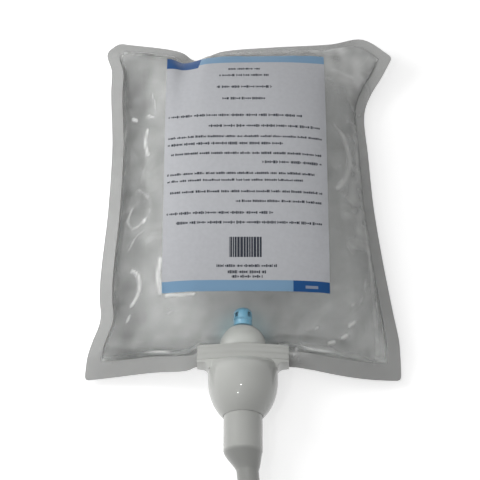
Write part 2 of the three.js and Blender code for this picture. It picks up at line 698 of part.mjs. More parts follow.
function inletCage() {
  const crownFoot = cageFoot + CAGE_HEIGHT - CAGE_CROWN;
  const chamber = CAGE_RADIUS - CAGE_WALL;
  const body = turned([
    [SPIGOT_RADIUS + SEAT_GAP, cageFoot],
    [CAGE_RADIUS, cageFoot],
    ...ellipse(CAGE_RADIUS, CAGE_CROWN, crownFoot, 0, Math.PI / 2).slice(0, -1),
    [0, crownFoot + CAGE_CROWN],
    [0, crownFoot + CAGE_CROWN - CAGE_WALL],
    [chamber, crownFoot],
    [chamber, spigotTop + SEAT_GAP],
    [SPIGOT_RADIUS + SEAT_GAP, spigotTop + SEAT_GAP],
  ]);
  let windows = null;
  for (let k = 0; k < CAGE_WINDOWS; k += 1) {
    const box = new THREE.BoxGeometry(WINDOW_WIDTH, WINDOW_HEIGHT, CAGE_RADIUS + 1);
    box.translate(0, crownFoot - WINDOW_HEIGHT / 2, (CAGE_RADIUS + 1) / 2);
    box.rotateY((2 * Math.PI * (k + 0.5)) / CAGE_WINDOWS);
    windows = windows ? windows.add(solidOf(box)) : solidOf(box);
  }
  return body.subtract(windows);
}

function inletBall() {
  const ball = new THREE.SphereGeometry(BALL_RADIUS, TURN_SIDES / 2, TURN_SIDES / 4);
  const rise = Math.sqrt(BALL_RADIUS ** 2 - INLET_RADIUS ** 2) + SEAT_GAP;
  return solidOf(ball.translate(0, spigotTop + rise, 0));
}

const stemGuide = () =>
  turned([
    [STEM_RADIUS + RUN_GAP, FLANGE_BOTTOM - SEAT_GAP - GUIDE_FLANGE],
    [GUIDE_FLANGE_RADIUS, FLANGE_BOTTOM - SEAT_GAP - GUIDE_FLANGE],
    [GUIDE_FLANGE_RADIUS, FLANGE_BOTTOM - SEAT_GAP],
    [BORE_RADIUS - SEAT_GAP, FLANGE_BOTTOM - SEAT_GAP],
    [BORE_RADIUS - SEAT_GAP, GUIDE_TOP],
    [STEM_RADIUS + RUN_GAP, GUIDE_TOP],
  ]);

const sealFoot = PISTON_BOTTOM + (PISTON_LENGTH - SEAL_WIDTH) / 2;
const grooveRadius = BORE_RADIUS - PISTON_GAP - SEAL_GROOVE;

const pistonRod = () =>
  turned([
    [STEM_BORE, STEM_END],
    [STEM_RADIUS, STEM_END],
    [STEM_RADIUS, PISTON_BOTTOM],
    [BORE_RADIUS - PISTON_GAP, PISTON_BOTTOM],
    [BORE_RADIUS - PISTON_GAP, sealFoot],
    [grooveRadius, sealFoot],
    [grooveRadius, sealFoot + SEAL_WIDTH],
    [BORE_RADIUS - PISTON_GAP, sealFoot + SEAL_WIDTH],
    [BORE_RADIUS - PISTON_GAP, PISTON_TOP],
    [STEM_BORE, PISTON_TOP],
  ]);

// A lip ring in the piston's groove
const pistonSeal = () =>
  turned([
    [grooveRadius + SEAT_GAP, sealFoot + SEAT_GAP],
    [BORE_RADIUS - PISTON_GAP, sealFoot + SEAT_GAP],
    [BORE_RADIUS - RUN_GAP / 2, sealFoot + SEAL_WIDTH / 2],
    [BORE_RADIUS - PISTON_GAP, sealFoot + SEAL_WIDTH - SEAT_GAP],
    [grooveRadius + SEAT_GAP, sealFoot + SEAL_WIDTH - SEAT_GAP],
  ]);

function returnSpring() {
  const seat = SPRING_WIRE + SEAT_GAP;
  const [low, high] = [PISTON_TOP + seat, CYLINDER_TOP - seat];
  class Coil extends THREE.Curve {
    getPoint(t) {
      const angle = 2 * Math.PI * SPRING_TURNS * t;
      const [x, z] = [SPRING_RADIUS * Math.sin(angle), SPRING_RADIUS * Math.cos(angle)];
      return new THREE.Vector3(x, lerp(low, high, t), z);
    }
  }
  const wire = new THREE.Shape(
    Array.from({ length: WIRE_SIDES }, (_, k) => {
      const angle = (2 * Math.PI * k) / WIRE_SIDES;
      return new THREE.Vector2(SPRING_WIRE * Math.cos(angle), SPRING_WIRE * Math.sin(angle));
    }),
  );
  const steps = 2 * WIRE_SIDES * SPRING_TURNS;
  const along = { steps, extrudePath: new Coil(), bevelEnabled: false };
  return solidOf(new THREE.ExtrudeGeometry(wire, along));
}

// Middle of the nozzle's tip at a height, as (x, z)
function tipCentre(height) {
  const root = clamp((-SLEEVE_END - height) / TAPER, 0, 1);
  const lean = TIP_LEAN * Math.max(0, TIP_ROOT - height);
  return new THREE.Vector2(TIP_ASIDE * root + lean, -TIP_BACK * root - lean);
}

const socketFloor = -SLEEVE_END + SLEEVE_FLOOR;

function nozzle() {
  const round = (radius, height) => ring(height, () => radius, tipCentre(height));
  const tip = lofted([
    round(TIP_RADIUS, TIP_END),
    round(TIP_RADIUS, TIP_ROOT),
    round(NOZZLE_RADIUS - SLEEVE_ROUND / 2, -SLEEVE_END),
    round(NOZZLE_RADIUS, -SLEEVE_END + SLEEVE_ROUND),
    round(NOZZLE_RADIUS, -NOZZLE_TOP),
  ]);
  const socket = STEM_RADIUS + SEAT_GAP;
  const socketTop = socketFloor + SOCKET_LENGTH;
  const hollow = turned([
    [socket + SOCKET_WALL, socketFloor],
    [NOZZLE_RADIUS - NOZZLE_WALL, socketFloor],
    [NOZZLE_RADIUS - NOZZLE_WALL, -NOZZLE_TOP + 1],
    [0, -NOZZLE_TOP + 1],
    [0, socketTop],
    [socket + SOCKET_WALL, socketTop],
  ]);
  const bore = turned([
    [0, socketFloor],
    [socket, socketFloor],
    [socket, socketTop + 1],
    [0, socketTop + 1],
  ]);
  const passage = lofted(
    [TIP_END - 1, TIP_ROOT, -SLEEVE_END, socketFloor + 1].map((height) =>
      ring(height, () => OUTLET_RADIUS, tipCentre(height), TURN_SIDES / 2),
    ),
  );
  const recess = lofted(
    [TIP_END - 1, TIP_END + INSERT_THICKNESS + SEAT_GAP].map((height) =>
      ring(height, () => INSERT_RADIUS + SEAT_GAP, tipCentre(TIP_END)),
    ),
  );
  return tip.subtract(hollow).subtract(bore).subtract(passage).subtract(recess);
}

// A rubber duckbill under the end of the stem
function outletValve() {
  const rim = STEM_RADIUS - SEAT_GAP;
  const [top, foot] = [STEM_END - SEAT_GAP, socketFloor + SEAT_GAP];
  const flange = top - (top - foot) / 4;
  return turned([
    [0, foot],
    [OUTLET_RADIUS, foot],
    [OUTLET_RADIUS + 1, flange],
    [rim, flange],
    [rim, top],
    [OUTLET_RADIUS, top],
    [0, (top + foot) / 2],
  ]);
}

function sprayInsert() {
  const centre = tipCentre(TIP_END);
  return turned([
    [ORIFICE_RADIUS, TIP_END],
    [INSERT_RADIUS, TIP_END],
    [INSERT_RADIUS, TIP_END + INSERT_THICKNESS],
    [ORIFICE_RADIUS, TIP_END + INSERT_THICKNESS],
  ]).translate([centre.x, 0, centre.y]);
}

// Materials

const material = (color, roughness, extra = {}) =>
  new THREE.MeshStandardMaterial({ color, roughness, metalness: 0, ...extra });
const clearFilm = material(0xd6d9d9, 0.15, { transparent: true, opacity: 0.35 });
const clearRub = material(0xdfe4e4, 0.05, { transparent: true, opacity: 0.3 });
const paperWhite = material(0xe6e7ea, 0.45);
const whitePlastic = material(0xe2e3df, 0.4);
const naturalPlastic = material(0xdcdcd4, 0.5);
const bluePlastic = material(0x6fb4d6, 0.35);
const softRubber = material(0xc9c9c4, 0.7);
const springSteel = material(0xb4b6b8, 0.3, { metalness: 1 });

// Assembly

function piece(name, solid, finish) {
  const mesh = new THREE.Mesh(geometryOf(solid), finish);
  mesh.name = name;
  return mesh;
}

const fixedPump = new THREE.Group().add(
  piece('spout', spout(), whitePlastic),
  piece('pump_housing', pumpHousing(), whitePlastic),
  piece('neck_gasket', neckGasket(), softRubber),
  piece('pump_cylinder', pumpCylinder(), naturalPlastic),
  piece('inlet_seal', inletSeal(), softRubber),
  piece('inlet_cage', inletCage(), bluePlastic),
  piece('inlet_ball', inletBall(), springSteel),
  piece('stem_guide', stemGuide(), naturalPlastic),
  piece('return_spring', returnSpring(), springSteel),
);
const plunger = new THREE.Group().add(
  piece('piston_rod', pistonRod(), naturalPlastic),
  piece('piston_seal', pistonSeal(), softRubber),
  piece('outlet_valve', outletValve(), softRubber),
  piece('nozzle', nozzle(), whitePlastic),
  piece('spray_insert', sprayInsert(), naturalPlastic),
);
const pump = new THREE.Group().add(fixedPump, plunger);
pump.position.z = AXIS_HEIGHT;

const refill = new THREE.Group().add(
  piece('pouch_film', pouchFilm(), clearFilm),
  piece('hand_rub', handRub(), clearRub),
  piece('label', label(), paperWhite),
  pump,
);
refill.position.y = -ORIGIN_UP;

const product = new THREE.Group().add(refill);

export default product;
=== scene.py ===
"""A clear film refill pouch of hand rub with a push pump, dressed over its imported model."""

import math

import bpy
import numpy as np
from bpy.props import FloatProperty, FloatVectorProperty, PointerProperty
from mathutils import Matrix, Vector


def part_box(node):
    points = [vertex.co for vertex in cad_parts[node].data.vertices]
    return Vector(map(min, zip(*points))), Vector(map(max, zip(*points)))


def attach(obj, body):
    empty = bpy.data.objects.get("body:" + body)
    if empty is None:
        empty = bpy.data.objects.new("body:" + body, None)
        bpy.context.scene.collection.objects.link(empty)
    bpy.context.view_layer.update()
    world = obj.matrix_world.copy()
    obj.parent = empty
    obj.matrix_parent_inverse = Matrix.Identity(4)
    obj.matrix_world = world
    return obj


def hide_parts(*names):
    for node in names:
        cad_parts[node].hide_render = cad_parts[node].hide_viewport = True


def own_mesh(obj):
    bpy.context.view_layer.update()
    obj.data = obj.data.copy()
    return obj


bl_info = {
    "name": "Hand rub refill pouch",
    "version": (1, 0, 0),
    "blender": (4, 5, 0),
    "location": "View3D > Sidebar > Refill pouch",
    "description": "Builds a filled refill pouch with its label and its push pump",
    "category": "Add Mesh",
}

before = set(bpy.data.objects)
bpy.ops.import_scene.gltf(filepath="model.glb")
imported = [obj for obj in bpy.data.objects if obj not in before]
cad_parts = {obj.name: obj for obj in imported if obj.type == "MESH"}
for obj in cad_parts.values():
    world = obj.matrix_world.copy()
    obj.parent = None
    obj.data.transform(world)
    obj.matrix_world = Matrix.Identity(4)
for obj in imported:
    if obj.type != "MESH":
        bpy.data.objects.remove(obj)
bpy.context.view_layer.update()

MM = 0.001
ORIGIN_UP = 115.5  # from the pump's shoulder up to the origin, in millimetres
AXIS_HEIGHT = 21.0  # the pump's axis above the table, in millimetres
BODY = "pack"
PLUNGER = "plunger"


def length(name, default, description):
    """A size in millimetres as a length property."""
    return FloatProperty(name=name, description=description, default=default * MM, min=0.0, unit="LENGTH")


def share(name, default, description):
    """A number from 0 to 1 as a slider."""
    return FloatProperty(name=name, description=description, default=default, min=0.0, max=1.0, subtype="FACTOR")


def colour(name, default, description):
    """A linear colour property."""
    return FloatVectorProperty(
        name=name, description=description, default=default, size=3, min=0.0, max=1.0, subtype="COLOR"
    )


class PouchSettings(bpy.types.PropertyGroup):
    """Sizes and finishes of the films and the hand rub."""

    width: length("Width", 190, "Width of the pouch at its foot")
    length: length("Length", 231, "Length of the pouch from the pump's shoulder to its top")
    film: length("Film", 0.2, "Thickness of one film")
    side_seal: length("Side seal", 8, "Width of the weld at each side")
    foot_seal: length("Foot seal", 10, "Width of the weld at the foot")
    top_seal: length("Top seal", 6, "Width of the weld at the top")
    height: length("Height", 44, "Height of the filled belly")
    crease: length("Crease", 1.0, "Height of a full crease in the front film")
    fold: length("Fold", 1.3, "Height of a full fold in the back film")
    haze: share("Haze", 0.055, "How milky the front film is")
    back_haze: share("Back haze", 0.9, "How milky the back film is")
    film_colour: colour("Film colour", (0.88, 0.89, 0.88), "Haze of the front film")
    # The back film's dark grey is partly its haze and partly painted shade, for the shade seen through the filled
    # pouch.
    back_haze_and_shade: colour("Back colour", (0.312, 0.314, 0.308), "Haze of the back film")
    rub_colour: colour("Hand rub", (0.985, 0.995, 0.99), "Tint of the hand rub")


class LabelSettings(bpy.types.PropertyGroup):
    """Sizes and print colours of the label."""

    width: length("Width", 100, "Width of the label")
    length: length("Length", 171, "Length of the label")
    foot: length("Foot", 38.5, "From the pump's shoulder up to the label's foot")
    shift: length("Shift", 1.7, "How far the label sits to the right")
    thickness: length("Thickness", 0.15, "Thickness of the label")
    paper: colour("Paper", (0.6, 0.61, 0.64), "Bare label")
    pale: colour("Pale band", (0.24, 0.41, 0.6), "Pale end bands")
    dark: colour("Dark block", (0.012, 0.085, 0.27), "Dark blocks on the end bands")
    ink: colour("Ink", (0.035, 0.04, 0.055), "Lines and bars")


class PumpSettings(bpy.types.PropertyGroup):
    """Sizes and colours of the pump."""

    boat_span: length("Boat span", 54.5, "Length of the weld base and of the ears")
    boat_thickness: length("Boat thickness", 18, "Thickness of the weld base at its middle")
    boat_end: length("Boat end", 11, "Thickness of the weld base at its ends")
    boat_rise: length("Boat rise", 9, "Height of the weld base")
    bell_radius: length("Bell radius", 20.75, "Radius of the pump's bell")
    bell_length: length("Bell length", 34, "Length of the pump's bell")
    sleeve_radius: length("Sleeve radius", 11.5, "Radius of the nozzle's sleeve")
    tip_radius: length("Tip radius", 6.5, "Radius of the nozzle's tip")
    white: colour("White plastic", (0.615, 0.625, 0.595), "Boat, bell and nozzle")
    natural: colour("Natural plastic", (0.52, 0.52, 0.48), "Cylinder, guide, piston and outlet insert")
    valve: colour("Valve", (0.085, 0.25, 0.36), "Inlet valve cage")
    rubber: colour("Seals", (0.5, 0.5, 0.47), "Rings and outlet valve")


class StageSettings(bpy.types.PropertyGroup):
    """Camera and lamps."""

    lens: FloatProperty(name="Lens", description="Focal length in millimetres", default=139.3, min=1.0)
    tilt: FloatProperty(
        name="Tilt", description="Camera's turn up from straight down", default=math.radians(27), subtype="ANGLE"
    )
    key: FloatProperty(name="Key", description="Power of the left lamp", default=0.95, min=0.0, unit="POWER")
    fill: FloatProperty(name="Fill", description="Light from all round", default=0.22, min=0.0)


def lerp(a, b, t):
    return a + (b - a) * t


def smoothstep(value, low, high):
    t = np.clip((value - low) / (high - low), 0.0, 1.0)
    return t * t * (3 - 2 * t)


def line_through(points, fine=400):
    """A centripetal curve through points, as a function of the share of its length."""
    given = np.array(points, float)
    ends = np.vstack([2 * given[0] - given[1], given, 2 * given[-1] - given[-2]])
    places = []
    for k in range(len(given) - 1):
        p0, p1, p2, p3 = ends[k : k + 4]
        t0 = 0.0
        t1 = t0 + math.sqrt(np.linalg.norm(p1 - p0))
        t2 = t1 + math.sqrt(np.linalg.norm(p2 - p1))
        t3 = t2 + math.sqrt(np.linalg.norm(p3 - p2))
        t = np.linspace(t1, t2, fine, endpoint=k == len(given) - 2)[:, None]
        a1 = (t1 - t) / (t1 - t0) * p0 + (t - t0) / (t1 - t0) * p1
        a2 = (t2 - t) / (t2 - t1) * p1 + (t - t1) / (t2 - t1) * p2
        a3 = (t3 - t) / (t3 - t2) * p2 + (t - t2) / (t3 - t2) * p3
        b1 = (t2 - t) / (t2 - t0) * a1 + (t - t0) / (t2 - t0) * a2
        b2 = (t3 - t) / (t3 - t1) * a2 + (t - t1) / (t3 - t1) * a3
        places.append((t2 - t) / (t2 - t1) * b1 + (t - t1) / (t2 - t1) * b2)
    line = np.vstack(places)
    steps = np.linalg.norm(np.diff(line, axis=0), axis=1)
    run = np.concatenate([[0.0], np.cumsum(steps)])
    run /= run[-1]
    return lambda u: np.stack([np.interp(u, run, line[:, k]) for k in range(3)], axis=-1)


# Uneven fields of the films: seed, number of waves, lowest and highest pitch in waves per millimetre
RIPPLES = {
    "broad wrinkles": (11, 7, 0.012, 0.03), "fine wrinkles": (41, 9, 0.05, 0.11), "clouds": (5, 7, 0.03, 0.08),
    "flecks": (77, 12, 0.05, 0.15), "loops": (8, 7, 0.025, 0.06), "patches": (31, 7, 0.04, 0.13),
    "painted_shade_amount": (57, 10, 0.03, 0.1), "table folds": (23, 7, 0.008, 0.022),
}


def ripple(x, y, kind):
    """A smooth uneven field between about -1 and 1, from a few seeded waves."""
    seed, waves, low, high = RIPPLES[kind]
    draw = np.random.default_rng(seed)
    total = np.zeros_like(x)
    for _ in range(waves):
        angle, pitch, phase = draw.uniform(0, 2 * np.pi), draw.uniform(low, high), draw.uniform(0, 2 * np.pi)
        total += np.sin(2 * np.pi * pitch * (x * np.cos(angle) + y * np.sin(angle)) + phase)
    return total / math.sqrt(2 * waves)


# Creases of the front film, in millimetres: line, half width, share of the full height, below zero
# for a groove, and how white the crease is: partly stress whitening, partly a painted highlight for its glints
CREASES = [
    ([(-66.6, 56), (-63.4, 53), (-61.7, 47), (-62.6, 40.5), (-66.4, 34)], 1.6, 0.8, 0.75),
    ([(-67.5, 28), (-69, 25)], 1.2, 0.4, 0.5),
    ([(-49.4, 60), (-50.6, 50), (-49.2, 39)], 1.9, 0.6, 0.9),
    ([(-46, 37.2), (-38, 36.9), (-29, 37.4)], 1.4, 0.3, 0.9),
    ([(-59.5, 152), (-60.3, 142), (-58.5, 133)], 1.5, 0.7, 0.8),
    ([(-57, 130), (-60, 124), (-62, 116)], 1.8, 0.6, 0.2),
    ([(-69, 164), (-66.5, 162)], 1.5, 0.6, 0.7),
    ([(-59, 162), (-56, 160)], 1.6, 0.6, 0.6),
    ([(-57, 178), (-55.5, 172), (-55, 166)], 1.6, 0.4, 0.35),
    ([(-73, 160), (-75.5, 153), (-76, 146)], 1.6, 0.5, 0.2),
    ([(-64, 110), (-58, 104), (-56, 96), (-59, 88), (-66, 84), (-70, 90), (-68, 98)], 1.7, 0.6, 0.25),
    ([(-60, 80), (-65, 77), (-69, 70)], 1.8, 0.6, 0.25),
    ([(-60, 88), (-59.5, 86)], 1.4, 0.5, 0.6),
    ([(57, 155), (62.5, 149), (65.5, 138), (66, 130), (62.6, 116), (58, 109)], 2.2, 0.7, 0.4),
    ([(66, 186), (62, 178), (60, 168)], 3.0, -0.6, 0.0),
    ([(58, 199), (70, 198), (78, 200), (81, 194), (79, 184), (74, 176)], 2.2, 0.5, 0.3),
    ([(72, 100), (70, 84), (66, 66)], 3.0, 0.4, 0.1),
    ([(66, 23), (63, 21)], 1.5, 0.6, 0.8),
    ([(61.5, 16), (59, 14.5)], 1.5, 0.6, 0.9),
    ([(54, 12.5), (51, 11.8)], 1.4, 0.5, 0.8),
    ([(66, 34), (65, 32.5)], 1.3, 0.4, 0.4),
    ([(44, 19), (43, 18)], 1.3, 0.4, 0.4),
    ([(74, 52), (72, 41), (67, 30)], 2.0, 0.4, 0.15),
    ([(76.5, 92), (77.5, 64), (79, 34), (80.5, 9)], 2.6, 0.0, 0.22),
    ([(34, 11), (56, 8), (80, 5)], 2.2, 0.0, 0.18),
    ([(-52, 14), (-42, 18), (-32, 20)], 2.4, -0.4, 0.0),
    ([(34, 16), (42, 22), (48, 30)], 2.4, -0.4, 0.1),
    ([(-74, 204), (-72, 190), (-68, 176)], 4.0, -0.8, 0.0),
    ([(28.9, 1), (30.6, 5), (31.4, 8.3)], 1.1, 0.9, 0.45),
    ([(31.4, 8.3), (32.3, 4), (33.2, 0.5)], 1.1, 0.9, 0.55),
]

# Milky patches of the front film, in millimetres: middle, half width, half length and how milky
MILKY = [
    (-42, 26, 28, 9, 0.22), (50, 21, 30, 12, 0.06), (64, 202, 18, 16, 0.6), (68, 110, 14, 70, 0.25),
    (56, 9, 32, 5, 0.12), (0, 220, 90, 7, 0.4), (78, 196, 8, 24, 0.4), (76, 140, 6, 50, 0.3),
]

# Painted shade on the back film behind the liquid, in millimetres: middle, half width, half length and how dark the
# painted shade is
PAINTED_SHADE_PATCHES = [
    (-67, 196, 9, 29, 0.5), (-74, 104, 7, 120, 0.2), (-60, 110, 16, 110, 0.12), (-66, 44, 9, 22, 0.35),
    (-56, 12, 40, 6, 0.6), (-60, 116, 8, 10, 0.3), (-63, 82, 7, 9, 0.3), (-40, 30, 40, 14, 0.1),
    (46, 26, 44, 17, 0.36),
]

# Short puckers where the front film swells out of the welds, in millimetres: side, place along it, half width,
# reach and share of the full height
PUCKERS = [
    ("left", 28, 4, 9, 0.7), ("left", 52, 5, 8, -0.5), ("left", 79, 4, 10, 0.6), ("left", 104, 6, 8, -0.5),
    ("left", 131, 4, 9, 0.6), ("left", 160, 5, 10, -0.6), ("left", 186, 4, 8, 0.7), ("left", 205, 5, 9, -0.6),
    ("right", 24, 4, 8, 0.6), ("right", 47, 5, 9, -0.6), ("right", 73, 4, 8, 0.5), ("right", 99, 6, 10, -0.5),
    ("right", 127, 4, 9, 0.6), ("right", 150, 5, 8, -0.4), ("right", 196, 6, 9, -0.4),
    ("top", -62, 5, 9, 0.7), ("top", -31, 7, 13, -1.2), ("top", -8, 4, 9, 0.6), ("top", 17, 5, 8, -0.5),
    ("top", 42, 5, 9, 0.6), ("top", 64, 4, 10, -0.6),
    ("foot", -70, 7, 9, 0.3), ("foot", 71, 7, 9, 0.3),
]

# The pouch's side edges from the foot up: in from the side in millimetres, share of the length, millimetres
# down from there, and height above the table
LEFT_EDGE = [
    (1.6, 0.04, 0, 8.5), (4.4, 0.083, 0, 9.5), (8, 0.126, 0, 10.5), (9, 0.156, 0, 11), (8, 0.195, 0, 11.5),
    (7.8, 0.24, 0, 12), (8.6, 0.31, 0, 12), (11, 0.45, 0, 12), (12.2, 0.6, 0, 12), (12.2, 0.68, 0, 12),
    (10.3, 1, 39, 12), (10.2, 1, 22, 13), (7.4, 1, 11, 16), (14.5, 1, 3, 16),
]
RIGHT_EDGE = [
    (0.4, 0.05, 0, 8.5), (0.9, 0.086, 0, 9.5), (4.2, 0.171, 0, 11), (9.7, 0.333, 0, 12), (13.5, 0.478, 0, 12),
    (15.6, 0.627, 0, 12), (17, 1, 53, 12), (12.2, 1, 39.5, 13), (5.6, 1, 29, 16), (-1.6, 1, 16, 20),
]


def off_line(x, y, points, fine=6):
    """Distance from a smooth line through points."""
    line = line_through([(*point, 0) for point in points])(np.linspace(0, 1, fine * len(points)))
    least = np.full_like(x, np.inf)
    for (x0, y0, _), (x1, y1, _) in zip(line, line[1:]):
        t = ((x - x0) * (x1 - x0) + (y - y0) * (y1 - y0)) / ((x1 - x0) ** 2 + (y1 - y0) ** 2)
        near = np.clip(t, 0, 1)
        least = np.minimum(least, np.hypot(x - lerp(x0, x1, near), y - lerp(y0, y1, near)))
    return least


def blot(x, y, middle_x, middle_y, half_x, half_y, power):
    """A soft round patch, with a harder edge for a higher power."""
    return np.exp(-(((x - middle_x) / half_x) ** power) - ((y - middle_y) / half_y) ** power)


class PouchForm:
    """Both films over a sheet of shares (u across, v along), in millimetres from the pump's shoulder."""

    SHOULDER = 3.3  # how square the belly's sections are
    ROUND = 0.6  # how steeply the belly leaves the welds
    BACK_FLAT = 1.5  # how soon the back film reaches the table
    PUCKER = 14.0  # how far beside the boat the films are parted
    SLOT_FADE = 45.0  # how far above the boat the films are parted by it
    FILM_GAP = 0.45  # from the boat to a film's inner face
    BOAT_TOP = 9.15  # the boat's top above the shoulder
    WELD_GAP = 0.05  # from the weld's middle to a film's inner face
    DENT = (-31.0, 17.0, 5.0, 15.0)  # of the top: middle, half width, depth and how far down it runs
    TOP_DROP, TOP_HEIGHT = 6.0, 16.0  # the top edge's place below the full length, and its height
    FOOT_AT = (0.5, -4.0)  # the foot edge's place beside the boat and at the corners
    FOOT_LOW = 4.0  # height of the foot's corners
    LEFT_SAG = (2.2, 0.12, 0.2, 0.08)  # depth, and middle, half width and start as shares beyond the boat
    RIGHT_SAG = (1.7, 1.4)  # depth, and how far outward it leans
    BROAD, FINE = 0.45, 0.22  # heights of the general wrinkles, as shares of a crease
    LABEL_EDGE, LABEL_HOLD = (-6, 7), 0.88  # where the label starts to hold the film flat, and how much
    SPOUT = (0, 18, 22, 20)  # the room over the spout: its middle and its half sizes
    VALVE = (31, 15, 13)  # the valve's painted blue light on the back film: height of its middle, and its half sizes
    FUSED, OVER_SPOUT = 0.92, 0.35  # how much of the film is lost on the boat, and left over the spout
    SEEK_STEPS = 25

    def __init__(self, pouch, label, pump):
        self.wide, self.long, self.film = pouch.width / MM, pouch.length / MM, pouch.film / MM
        self.high = pouch.height / MM
        self.crease, self.fold = pouch.crease / MM, pouch.fold / MM
        self.side = pouch.side_seal / MM / self.wide
        self.foot, self.top = pouch.foot_seal / MM / self.long, pouch.top_seal / MM / self.long
        self.boat = pump.boat_span / MM / 2
        self.boat_mid, self.boat_tip = pump.boat_thickness / MM / 2, pump.boat_end / MM / 2
        self.slot = self.boat + self.PUCKER
        middle = label.foot / MM + label.length / MM / 2
        self.label = (label.shift / MM, middle, label.width / MM / 2, label.length / MM / 2)
        self.make_edges()

    def make_edges(self):
        self.foot_left, self.foot_right = self.foot_edge(np.array([0.0, 1.0]))
        left, right = self.side_points(LEFT_EDGE, -1), self.side_points(RIGHT_EDGE, 1)
        self.top_left, self.top_right = left[-1], right[-1]
        self.left = line_through([self.foot_left, *left])
        self.right = line_through([self.foot_right, *right])
        middle, half, deep, _ = self.DENT
        line, high = self.long - self.TOP_DROP, self.TOP_HEIGHT
        self.upper = line_through([
            self.top_left, (middle - half / 2, line - 0.8 * deep, high), (middle, line - 1.4 * deep, high - deep),
            (middle + half, line - 0.7 * deep, high), (0.1 * self.wide, line, high),
            (0.3 * self.wide, self.long - 0.6 * self.TOP_DROP, high), (0.41 * self.wide, self.long, high),
            self.top_right,
        ])

    def side_points(self, rows, way):
        side = way * self.wide / 2
        return np.array([(side - way * inset, part * self.long - down, high) for inset, part, down, high in rows])

    def foot_edge(self, u):
        x = lerp(-self.wide / 2, self.wide / 2, u)
        out = np.clip((np.abs(x) - self.boat) / (self.wide / 2 - self.boat), 0, None)
        deep, middle, half, start = self.LEFT_SAG
        left_sag = deep * np.exp(-(((out - middle) / half) ** 2)) * smoothstep(out, 0, start)
        deep, lean = self.RIGHT_SAG
        right_sag = deep * np.sin(math.pi * np.clip(out, 0, 1) ** lean)
        y = lerp(*self.FOOT_AT, out**0.6) - np.where(x < 0, left_sag, right_sag)
        return np.stack([x, y, lerp(AXIS_HEIGHT, self.FOOT_LOW, out**0.75)], axis=-1)

    def weld(self, u, v):
        """The sheet on which the two films are welded."""
        su, sv = u[..., None], v[..., None]
        across = lerp(self.foot_edge(u), self.upper(u), sv)
        along = lerp(self.left(v), self.right(v), su)
        corners = lerp(lerp(self.foot_left, self.foot_right, su), lerp(self.top_left, self.top_right, su), sv)
        point = across + along - corners
        beside = smoothstep(np.abs(point[..., 0]), self.boat, self.slot)
        above = smoothstep(point[..., 1], self.BOAT_TOP, self.BOAT_TOP + self.SLOT_FADE)
        point[..., 2] = lerp(AXIS_HEIGHT, point[..., 2], 1 - (1 - beside) * (1 - above))
        return point

    def fullness(self, u, v):
        """How full the belly is across and along it, from 0 on the welds to 1 in the middle."""
        across = 2 * (u - self.side) / (1 - 2 * self.side) - 1
        along = 2 * (v - self.foot) / (1 - self.foot - self.top) - 1
        crown = lambda s: np.clip(1 - np.abs(s) ** self.SHOULDER, 0, None) ** self.ROUND
        return crown(across), crown(along)

    def inside(self, u, v):
        return np.minimum(*self.fullness(u, v))

    def slot_gap(self, point):
        """Half the gap that the boat holds open between the films."""
        x, y = np.abs(point[..., 0]), point[..., 1]
        over = lerp(self.boat_tip, self.boat_mid, np.clip(1 - (x / self.boat) ** 2, 0, None)) + self.FILM_GAP
        beyond = (self.boat_tip + self.FILM_GAP) * np.clip(1 - (x - self.boat) / self.PUCKER, 0, 1)
        fade = 1 - smoothstep(y, self.BOAT_TOP, self.BOAT_TOP + self.SLOT_FADE)
        return np.where(x <= self.boat, over, beyond) * fade

    def creases(self, u, v, x, y):
        """Height of the front film's creases and puckers, which fade out on the welds and under the label."""
        total = self.BROAD * ripple(x, y, "broad wrinkles")
        total += self.FINE * ripple(x, y, "fine wrinkles") * self.away_from_spout(x, y)
        for line, half, height, _ in CREASES:
            total += height * np.exp(-((off_line(x, y, line) / half) ** 2))
        inward = {
            "left": ((u - self.side) * self.wide, y), "right": ((1 - self.side - u) * self.wide, y),
            "top": ((1 - self.top - v) * self.long, x), "foot": ((v - self.foot) * self.long, x),
        }
        for side, middle, half, reach, height in PUCKERS:
            off, along = inward[side]
            run = np.clip(off, 0, None) / reach
            total += height * np.exp(-(((along - middle) / (half * (1 + run / 2))) ** 2)) * run * np.exp(1 - run)
        middle_x, middle_y, half_x, half_y = self.label
        under = smoothstep(half_x - np.abs(x - middle_x), *self.LABEL_EDGE)
        under = under * smoothstep(half_y - np.abs(y - middle_y), *self.LABEL_EDGE)
        free = smoothstep(self.inside(u, v), 0.0, 0.45) * smoothstep(y, 8, 20)
        return self.crease * total * free * (1 - self.LABEL_HOLD * under)

    def veil(self, u, v, x, y):
        """How milky the front film is over the base haze: patches, faint loops and whitened creases, whose whitening
        is partly a painted highlight.
        """
        total = 0.08 * smoothstep(ripple(x, y, "clouds"), 0.1, 1.4)
        total += 0.035 * (1 + ripple(x, y, "flecks"))
        total += 0.1 * np.clip(1 - np.abs(ripple(x, y, "loops")) / 0.14, 0, 1) ** 2
        uneven = 0.75 + 0.35 * ripple(x, y, "patches")
        for *patch, amount in MILKY:
            total += amount * uneven * blot(x, y, *patch, 2)
        total *= smoothstep(self.inside(u, v), -0.06, 0.12) * self.away_from_spout(x, y)
        # whitened creases: partly stress whitening, partly painted highlights for the glints
        for line, half, _, white in CREASES:
            total += white * np.exp(-((off_line(x, y, line) / (0.6 * half)) ** 2))
        return np.clip(total, 0, 0.9)

    def away_from_spout(self, x, y):
        return 1 - blot(x, y, *self.SPOUT, 4)

    @staticmethod
    def painted_shade_amount(x, y):
        """How much painted shade darkens the back film behind the liquid."""
        total = 0.14 * ripple(x, y, "painted_shade_amount")
        for *patch, amount in PAINTED_SHADE_PATCHES:
            total += amount * blot(x, y, *patch, 4)
        return np.clip(total, 0, 0.7)

